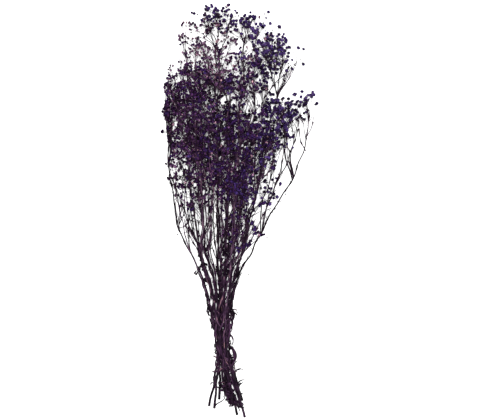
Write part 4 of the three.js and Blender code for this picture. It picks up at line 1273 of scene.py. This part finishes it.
def add_dead_twigs(stalks, blooms, at, ways, normals, turns, draw):
    """Short dead twigs, half of them with a bud."""
    count, points = len(at), LITTER["points"]
    lengths = draw.uniform(*LITTER["length"], count)
    twigs = held_back(curled(at, ways, normals, lengths, turns, points, draw))
    radii = np.broadcast_to(np.linspace(*LITTER["radius"], points), twigs.shape[:2])
    add_tubes(stalks, twigs, radii, LITTER["sides"], draw.random(count), draw)
    chosen = draw.random(count) < LITTER["budding"]
    ends = unit(twigs[chosen, -1] - twigs[chosen, -2])
    ones = np.ones(chosen.sum())
    tones = between(*LITTER["bud_tone"], draw.random(len(ones)))
    add_blooms(blooms, BUD_RINGS, BUD_SIDES, twigs[chosen, -1], ends, ones, ones, tones, draw)


def add_curled_leaves(leaves, at, ways, normals, turns, kept, draw):
    """Small curled leaves. Those that aren't kept have dropped off."""
    count, points = len(at), LITTER["points"]
    lengths = draw.uniform(*LITTER["leaf"], count)
    paths = held_back(curled(at, ways, normals, lengths, turns, points, draw))[kept]
    side = np.broadcast_to(np.cross(ways, normals)[kept, None], paths.shape)
    widths = (draw.uniform(*LITTER["half_width"], (count, 1)) * leaf_shape(points))[kept]
    fold = np.full(widths.shape, LITTER["fold"])
    add_blades(leaves, paths, side, widths, fold, draw.random(count)[kept], draw, LITTER["thickness"])


def add_litter(stalks, blooms, leaves, spray, draw):
    """Short dead twigs and small curled leaves, from random places of the stem and its side shoots. Far to
    the left few of the leaves are kept."""
    count = LITTER["twigs"] + LITTER["leaves"]
    at, along = litter_places(spray, count, draw)
    turn = draw.uniform(0, 7, count)
    ways = leaning(along, draw.uniform(*LITTER["tilt"], count), turn)
    dropped = (at[:, 0] < LITTER["left"]) & (draw.random(count) > LITTER["least"])
    inward = np.where(draw.random(count) < LITTER["inward"], 1, -1)[:, None]
    normals = unit(along - ways * (along * ways).sum(-1, keepdims=True)) * inward
    turns = draw.uniform(*LITTER["turn"], count)
    a, b = slice(0, LITTER["twigs"]), slice(LITTER["twigs"], count)
    add_dead_twigs(stalks, blooms, at[a], ways[a], normals[a], turns[a], draw)
    add_curled_leaves(leaves, at[b], ways[b], normals[b], turns[b] * 2, ~dropped[b], draw)


def add_heap(leaves, heap, draw):
    """Crumpled leaves in a heap: short, broad and curled up."""
    low, high, lean, count = heap
    points = LEAF_HEAP["points"]
    start = draw.uniform(low, high, (count, 3))
    start[:, 0] += (start[:, 1] - (low[1] + high[1]) / 2) * lean
    ways = unit(draw.normal(0, 1, (count, 3)) * LEAF_HEAP["flat"])
    right, up = across(ways)
    turn = draw.uniform(0, 7, (count, 1))
    normals = right * np.cos(turn) + up * np.sin(turn)
    lengths = draw.uniform(*LEAF_HEAP["length"], count)
    paths = curled(start, ways, normals, lengths, draw.uniform(*LEAF_HEAP["turn"], count), points, draw)
    paths[..., 2] = np.maximum(paths[..., 2], LEAF_HEAP["floor"])
    side = np.broadcast_to(np.cross(ways, normals)[:, None], paths.shape)
    widths = draw.uniform(*LEAF_HEAP["half_width"], (count, 1)) * leaf_shape(points)
    fold = draw.uniform(*LEAF_HEAP["fold"], (count, 1)) + 0.4 * np.sin(np.arange(points) * 0.9)
    fold = np.clip(fold, 0, 1.3)
    add_blades(leaves, paths, side, widths, fold, draw.random(count) * LEAF_HEAP["tone"], draw)


def add_hook(leaves, hook, draw):
    """A stiff dried leaf stalk that curls away from the bundle."""
    start, way, turn, length = hook
    way = unit(np.array([way], float))
    normal = unit(np.cross([[0.0, 0.0, 1.0]], way)) * np.sign(turn)
    start, length, turn = np.array([start], float), np.array([length]), np.array([abs(turn)])
    path = curled(start, way, normal, length, turn, HOOK["points"], draw)
    radii = np.linspace(*HOOK["radius"], HOOK["points"])[None]
    add_tubes(leaves, path, radii, HOOK["sides"], [draw.random()], draw)


def add_strip(leaves, strip, draw):
    """A shrivelled leaf with its flat side up, along a line of its own."""
    half_width, tone, joints = strip
    path, _ = softened(joints, KINK["step"], KINK["soften"])
    t = np.linspace(0, 1, len(path))
    way = unit(np.gradient(path, axis=0))
    lift = 0.5 * np.sin(t * 8 + draw.uniform(0, 6))
    side = unit(np.cross(way, [0, 0, 1]) + np.stack([0 * t, 0 * t, lift], -1))
    widths = half_width * (0.35 + 0.65 * leaf_shape(len(path)))
    fold = np.clip(0.5 + 0.4 * np.sin(t * 11 + draw.uniform(0, 6)), 0.1, 1.2)
    add_blades(leaves, path[None], side[None], widths[None], fold[None], [tone], draw)


def build_band(draw):
    """The elastic band: three loops side by side round the outermost stems. Each point lies straight out from
    the stem that reaches furthest that way."""
    surface = Surface()
    middles = np.array([waist_point(s["lane"]) for s in SPRAYS])
    a = np.linspace(0, 2 * math.pi, 361)
    out = np.stack([np.cos(a), 0 * a, np.sin(a)], -1)
    furthest = middles[(out @ middles.T).argmax(1)]
    loop = furthest + out * (STEM_RADIUS + BAND["gap"] + BAND["radius"])
    even, _ = softened(loop, length_of(np.diff(loop, axis=0)).sum() / BAND["points"], 0)
    for n in range(BAND["turns"]):
        path = even[:-1] + [0, (n - (BAND["turns"] - 1) / 2) * BAND["pitch"], 0]
        path[:, 1] += BAND["sway"] * np.sin(np.arange(len(path)) * 0.2 + n * 2)
        radii = np.full((1, len(path)), BAND["radius"])
        add_tubes(surface, path[None], radii, BAND["sides"], [draw.random()], draw, closed=True)
    return surface


def add_main_stem(stalks, spray, draw):
    """The main stem, with its knots. Returns the knots and the way that the stem runs, once for each."""
    stem, along = softened(spray["line"], STEM["step"], STEM["soften"])
    stem = dried(stem)
    knots = stem_nodes(stem, along)
    radii = STEM_RADIUS * (1 - STEM["taper"] * (along / along[-1]) ** STEM["power"])
    radii = radii * swelling(stem, knots, STEM["swelling"], STEM["node"])
    tone = between(*STEM["tone"], draw.random())
    add_tubes(stalks, stem[None], radii[None], STEM["sides"], [tone], draw)
    return list(knots), [unit(stem[-1] - stem[0])] * len(knots)


def add_axes(stalks, spray, draw):
    """The branches, swollen where they fork. Returns their paths for twig_roots, and the forks with the way
    that the branch runs, once for each."""
    paths, forks, ways = [], [], []
    for axis in spray["axes"] + spray["extra"] + spray["shoots"]:
        total = length_of(np.diff(np.array(axis["points"]), axis=0)).sum()
        line = trimmed(axis["points"], min(TRIM["most"], TRIM["share"] * total))
        path, reach = softened(line, AXIS["step"], AXIS["soften"])
        path = dried(path)
        nodes = dried(np.array(axis["forks"])) if axis["forks"] else []
        back = np.clip((reach[-1] - reach) / AXIS["full"], 0, 1)
        thick = between(*axis.get("radii", AXIS["radii"]), back)
        thick = thick * swelling(path, nodes, AXIS["swelling"], AXIS["node"])
        add_tubes(stalks, path[None], thick[None], AXIS["sides"], [draw.random()], draw)
        paths.append((path, reach, axis["head"], axis.get("knots", SITES["most"])))
        forks += list(nodes)
        ways += [unit(path[-1] - path[0])] * len(nodes)
    return paths, forks, ways


def add_twigs(stalks, paths, draw):
    """The twigs of the branches. Returns their ends, the ways that these face and the dyes of their heads."""
    at, ways, turns, dyes = twig_roots(paths, draw)
    out = leaning(ways, draw.uniform(*TWIG["tilt"], len(at)), turns)
    lengths = draw.uniform(*TWIG["length"], len(at))
    twigs, ends = arched(at, out, ways, lengths, TWIG["bend"], TWIG["points"])
    twigs = held_back(twigs)
    thick = np.broadcast_to(np.linspace(*TWIG["radius"], TWIG["points"]), twigs.shape[:2])
    add_tubes(stalks, twigs, thick, TWIG["sides"], stalk_tones(dyes[:, 0], draw), draw)
    return twigs[:, -1], ends, dyes


def dealt(table, spray):
    """The rows of a table that fall to one spray, when they are dealt to the sprays in turn."""
    return table[spray["owner"] :: len(SPRAYS)]


def build_spray(spray, lines, draw):
    """The finer pieces of one spray, as surfaces: its stalks, its blooms and its leaves."""
    stalks, blooms, leaves = Surface(), Surface(), Surface()
    knots, stem_ways = add_main_stem(stalks, spray, draw)
    paths, forks, axis_ways = add_axes(stalks, spray, draw)
    add_bracts(leaves, np.array(knots + forks), np.array(stem_ways + axis_ways), draw)
    at, ways, dyes = add_twigs(stalks, paths, draw)
    grow_blooms(stalks, blooms, at, ways, dyes, draw)
    add_own_leaves(leaves, spray, draw)
    add_wrap(leaves, spray, lines, draw)
    add_litter(stalks, blooms, leaves, spray, draw)
    for hook in dealt(HOOKS, spray):
        add_hook(leaves, hook, draw)
    for heap in dealt(HEAPS, spray):
        add_heap(leaves, heap, draw)
    for strip in dealt(STRIPS, spray):
        add_strip(leaves, strip, draw)
    return stalks, blooms, leaves


# Materials. Each reads the attributes that its mesh carries for every corner.
def linear(colour):
    """An sRGB hex colour as linear RGBA."""
    parts = [int(colour[i : i + 2], 16) / 255 for i in (1, 3, 5)]
    return (*[p / 12.92 if p <= 0.04045 else ((p + 0.055) / 1.055) ** 2.4 for p in parts], 1.0)


def add(tree, kind, settings=None, links=None):
    """Adds one node: settings name its own properties or its sockets, and links name sockets and sources."""
    node = tree.nodes.new(kind)
    for name, value in (settings or {}).items():
        if isinstance(name, str) and hasattr(node, name):
            setattr(node, name, value)
        else:
            node.inputs[name].default_value = value
    for name, source in (links or {}).items():
        tree.links.new(source, node.inputs[name])
    return node


def set_stops(node, stops):
    elements = node.color_ramp.elements
    while len(elements) < len(stops):
        elements.new(0.5)
    for element, (place, colour) in zip(elements, stops):
        element.position = place
        element.color = linear(colour)


def new_material(name):
    material = bpy.data.materials.new(name)
    material.use_nodes = True
    material.node_tree.nodes.clear()
    return material, material.node_tree


# Tones from faded to fresh for petals, and from well dyed to worn for stalks and leaves. CALYX is the
# plum brown cup under the petals.
PETAL_DYES = [
    (0.0, "#86666e"), (0.14, "#644a60"), (0.32, "#3c2440"), (0.5, "#1f0c26"), (0.66, "#1e0f2e"),
    (0.84, "#281b42"), (1.0, "#3a2b50"),
]
CALYX = "#10050f"
STALK_DYES = [(0.0, "#050106"), (0.35, "#120612"), (0.62, "#281629"), (0.85, "#40303f"), (1.0, "#624757")]
LEAF_DYES = [(0.0, "#040005"), (0.33, "#110613"), (0.58, "#291529"), (0.82, "#3c293c"), (1.0, "#6e5056")]


def product(tree, colour, factor):
    """A colour times a factor."""
    settings = {"data_type": "RGBA", "blend_type": "MULTIPLY", "Factor": 1.0}
    return add(tree, "ShaderNodeMix", settings, {6: colour, 7: factor}).outputs[2]


def shaded_by_noise(tree, noise, low, high):
    """A factor of painted light and shade that a noise swings between two values."""
    settings = {"From Min": 0.37, "From Max": 0.65, "To Min": low, "To Max": high}
    return add(tree, "ShaderNodeMapRange", settings, {"Value": noise.outputs["Fac"]}).outputs["Result"]


def painted_height_shade(tree, colour, low, high):
    """A colour with painted shade and light by height in the bunch: darkened towards the floor, so the lower
    florets look nearly black, and lightened a little on the upper side, where the light falls from above."""
    upper = add(tree, "ShaderNodeAttribute", {"attribute_name": "upper"})
    settings = {"From Min": 0.25, "From Max": 0.95, "To Min": low, "To Max": high}
    share = add(tree, "ShaderNodeMapRange", settings, {"Value": upper.outputs["Fac"]})
    return product(tree, colour, share.outputs["Result"])


def dyed_petals():
    """Dried, dyed petals: thin crumpled paper with no gloss. The dye took unevenly, so each floret has a tone
    of its own, from faded pink to blue-violet, and the calyx under it stays plum brown. Painted light and
    shade from a noise of crumples a few millimetres across breaks each floret into light and dark."""
    material, tree = new_material("dyed_papery_petals")
    tone = add(tree, "ShaderNodeAttribute", {"attribute_name": "tone"})
    reach = add(tree, "ShaderNodeAttribute", {"attribute_name": "reach"})
    grain = add(tree, "ShaderNodeAttribute", {"attribute_name": "grain"}).outputs["Vector"]
    dye = add(tree, "ShaderNodeValToRGB", {}, {"Fac": tone.outputs["Fac"]})
    set_stops(dye, PETAL_DYES)
    crumple = add(tree, "ShaderNodeTexNoise", {"Scale": 0.5, "Detail": 3.0}, {"Vector": grain})
    # Painted light and shade: the crumple noise scales the dye from nearly black to more than twice as
    # bright, for the light and shade on crumpled petals.
    petal = product(tree, dye.outputs["Color"], shaded_by_noise(tree, crumple, 0.03, 2.3))
    edge = add(tree, "ShaderNodeMapRange", {"From Min": 0.12, "From Max": 0.5},
               {"Value": reach.outputs["Fac"]})
    colour = add(tree, "ShaderNodeMix", {"data_type": "RGBA", 6: linear(CALYX)},
                 {"Factor": edge.outputs["Result"], 7: petal})
    # Painted shade and light by height: florets low in the bunch are darkened to near black, and the top ones
    # lightened a little.
    seen = painted_height_shade(tree, colour.outputs[2], 0.14, 1.08)
    bump = add(tree, "ShaderNodeBump", {"Strength": 0.5, "Distance": 0.0004},
               {"Height": crumple.outputs["Fac"]})
    shader = add(tree, "ShaderNodeBsdfPrincipled", {"Roughness": 0.85, "Specular IOR Level": 0.02},
                 {"Base Color": seen, "Normal": bump.outputs["Normal"]})
    add(tree, "ShaderNodeOutputMaterial", {}, {"Surface": shader.outputs["BSDF"]})
    return material


def dyed_fibre(name, stops, scale, roughness, gloss):
    """Dyed woody fibre: fine ribs run along it, and larger patches of the dye are worn to a paler brown.
    `stops` go from where it took best to where it wore off."""
    material, tree = new_material(name)
    tone = add(tree, "ShaderNodeAttribute", {"attribute_name": "tone"})
    grain = add(tree, "ShaderNodeAttribute", {"attribute_name": "grain"}).outputs["Vector"]
    ribs = add(tree, "ShaderNodeTexNoise", {"Scale": scale, "Detail": 3.0}, {"Vector": grain})
    patches = add(tree, "ShaderNodeTexNoise", {"Scale": 0.4, "Detail": 1.0}, {"Vector": grain})
    mixed = add(tree, "ShaderNodeMath", {"operation": "MULTIPLY_ADD", 1: 1.5},
                {0: patches.outputs["Fac"], 2: ribs.outputs["Fac"]})
    shifted = add(tree, "ShaderNodeMath", {"operation": "MULTIPLY_ADD", 1: 0.6},
                  {0: tone.outputs["Fac"], 2: mixed.outputs["Value"]})
    place = add(tree, "ShaderNodeMapRange", {"From Min": 1.05, "From Max": 2.05},
                {"Value": shifted.outputs["Value"]})
    colour = add(tree, "ShaderNodeValToRGB", {}, {"Fac": place.outputs["Result"]})
    set_stops(colour, stops)
    # Painted shade and light by height, as on the petals: stalks and leaves low in the bunch are darker, and
    # the top ones a little lighter.
    seen = painted_height_shade(tree, colour.outputs["Color"], 0.2, 1.2)
    bump = add(tree, "ShaderNodeBump", {"Strength": 0.6, "Distance": 0.0003},
               {"Height": ribs.outputs["Fac"]})
    shader = add(tree, "ShaderNodeBsdfPrincipled", {"Roughness": roughness, "Specular IOR Level": gloss},
                 {"Base Color": seen, "Normal": bump.outputs["Normal"]})
    add(tree, "ShaderNodeOutputMaterial", {}, {"Surface": shader.outputs["BSDF"]})
    return material


def plain_material(name, colour, roughness, gloss):
    """One even colour, for what has no pattern of its own: matt paper and dull rubber."""
    material, tree = new_material(name)
    settings = {"Base Color": linear(colour), "Roughness": roughness, "Specular IOR Level": gloss}
    shader = add(tree, "ShaderNodeBsdfPrincipled", settings)
    add(tree, "ShaderNodeOutputMaterial", {}, {"Surface": shader.outputs["BSDF"]})
    return material


# Pieces. TOP is how high the upper side of the bunch lies, at some places along it.
TOP = {"y": (-320, -190, -90, 20), "z": (26, 29, 62, 92)}


def add_attribute(mesh, name, kind, values):
    """One value for each corner, which materials find by its name."""
    layer = mesh.attributes.new(name, kind, "POINT")
    flat = np.concatenate(values).astype(np.float32).ravel()
    layer.data.foreach_set("value" if kind == "FLOAT" else "vector", flat)


def make_mesh(name, surface):
    """The mesh of a surface, in metres. "upper" is 1 on the upper side of the bunch and 0 at the floor, and
    the materials paint shade and light by it.
    """
    corners = np.concatenate(surface.corners)
    upper = np.clip(corners[:, 2] / np.interp(corners[:, 1], TOP["y"], TOP["z"]), 0, 1)
    corners = (corners + OUTLINE_SHIFT) * MM
    corners[:, 2] = np.maximum(corners[:, 2], 0)
    mesh = bpy.data.meshes.new(name)
    mesh.vertices.add(len(corners))
    mesh.vertices.foreach_set("co", corners.astype(np.float32).ravel())
    loops = np.concatenate([f.ravel() for f in surface.faces])
    sizes = np.concatenate([np.full(len(f), f.shape[1]) for f in surface.faces])
    mesh.loops.add(len(loops))
    mesh.loops.foreach_set("vertex_index", loops.astype(np.int32))
    mesh.polygons.add(len(sizes))
    mesh.polygons.foreach_set("loop_start", (np.cumsum(sizes) - sizes).astype(np.int32))
    add_attribute(mesh, "tone", "FLOAT", surface.tones)
    add_attribute(mesh, "reach", "FLOAT", surface.reaches)
    add_attribute(mesh, "upper", "FLOAT", [upper])
    add_attribute(mesh, "grain", "FLOAT_VECTOR", surface.grains)
    mesh.update(calc_edges=True)
    mesh.shade_smooth()
    return mesh


def make_piece(name, surface, material, node):
    """A mesh object at the origin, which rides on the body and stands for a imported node."""
    mesh = make_mesh(name, surface)
    mesh.materials.append(material)
    piece = bpy.data.objects.new(name, mesh)
    bpy.context.scene.collection.objects.link(piece)
    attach(piece, "root")
    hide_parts(node)


# Floor, light and camera. The camera hangs straight above the middle of the outline, and "width" is what
# it takes in at the height "middle", about half way up the bunch.
FLOOR = {"half": 3, "z": -0.0002}
CAMERA = {"at": (-0.0002, 0.0022, 5.0), "middle": 0.055, "width": 0.744, "sensor": 36.0}
SOFT_SKY = 1.3
OVERHEAD = {"strength": 4.0, "angle": 6}


def add_floor(paper):
    """A flat sheet a hair below the bunch, so that the two don't share a plane."""
    half = FLOOR["half"]
    mesh = bpy.data.meshes.new("floor")
    corners = [(-half, -half, 0), (half, -half, 0), (half, half, 0), (-half, half, 0)]
    mesh.from_pydata(corners, [], [(0, 1, 2, 3)])
    mesh.materials.append(paper)
    floor = bpy.data.objects.new("floor", mesh)
    floor.location.z = FLOOR["z"]
    bpy.context.scene.collection.objects.link(floor)


def add_light():
    """A white sky all round, and a lamp straight overhead that is broad enough for soft shadows."""
    world = bpy.data.worlds.new("soft_studio")
    world.use_nodes = True
    world.node_tree.nodes["Background"].inputs["Color"].default_value = (1, 1, 1, 1)
    world.node_tree.nodes["Background"].inputs["Strength"].default_value = SOFT_SKY
    bpy.context.scene.world = world
    lamp = bpy.data.lights.new("soft_overhead", "SUN")
    lamp.energy = OVERHEAD["strength"]
    lamp.angle = math.radians(OVERHEAD["angle"])
    bpy.context.scene.collection.objects.link(bpy.data.objects.new("soft_overhead", lamp))


def add_camera():
    data = bpy.data.cameras.new("camera")
    data.sensor_width = CAMERA["sensor"]
    data.lens = CAMERA["sensor"] * (CAMERA["at"][2] - CAMERA["middle"]) / CAMERA["width"]
    camera = bpy.data.objects.new("camera", data)
    camera.location = CAMERA["at"]
    bpy.context.scene.collection.objects.link(camera)
    bpy.context.scene.camera = camera
    bpy.context.scene.view_settings.view_transform = "Standard"


def build_bunch():
    """Grows the bunch and makes its pieces: three for each spray, and the band."""
    petals = dyed_petals()
    stalk = dyed_fibre("dyed_dried_stalk", STALK_DYES, 1.4, 0.6, 0.05)
    leaf = dyed_fibre("shrivelled_dyed_leaf", LEAF_DYES, 1.0, 0.65, 0.05)
    rubber = plain_material("dull_elastic_rubber", "#140c12", 0.6, 0.1)
    sprays, placed = grow_bunch()
    generators = [np.random.default_rng(SPRAY_SEED + s["owner"]) for s in sprays]
    tips = [np.array(axis["points"][-1]) for spray in sprays for axis in spray["axes"]]
    for spray, draw in zip(sprays, generators):
        add_shoots(spray, placed, draw)
        add_branches(spray)
        add_extra_axes(spray, tips, draw)
    lines = [s["line"] for s in sprays]
    for spray, draw in zip(sprays, generators):
        stalks, blooms, leaves = build_spray(spray, lines, draw)
        node = "spray_" + spray["name"]
        make_piece("stalks_" + spray["name"], stalks, stalk, node)
        make_piece("blooms_" + spray["name"], blooms, petals, node)
        make_piece("leaves_" + spray["name"], leaves, leaf, node)
    band = build_band(np.random.default_rng(BAND_SEED))
    make_piece("band", band, rubber, "elastic_band")


add_floor(plain_material("matt_white_paper", "#f4f4f4", 0.95, 0.1))
add_light()
add_camera()
build_bunch()
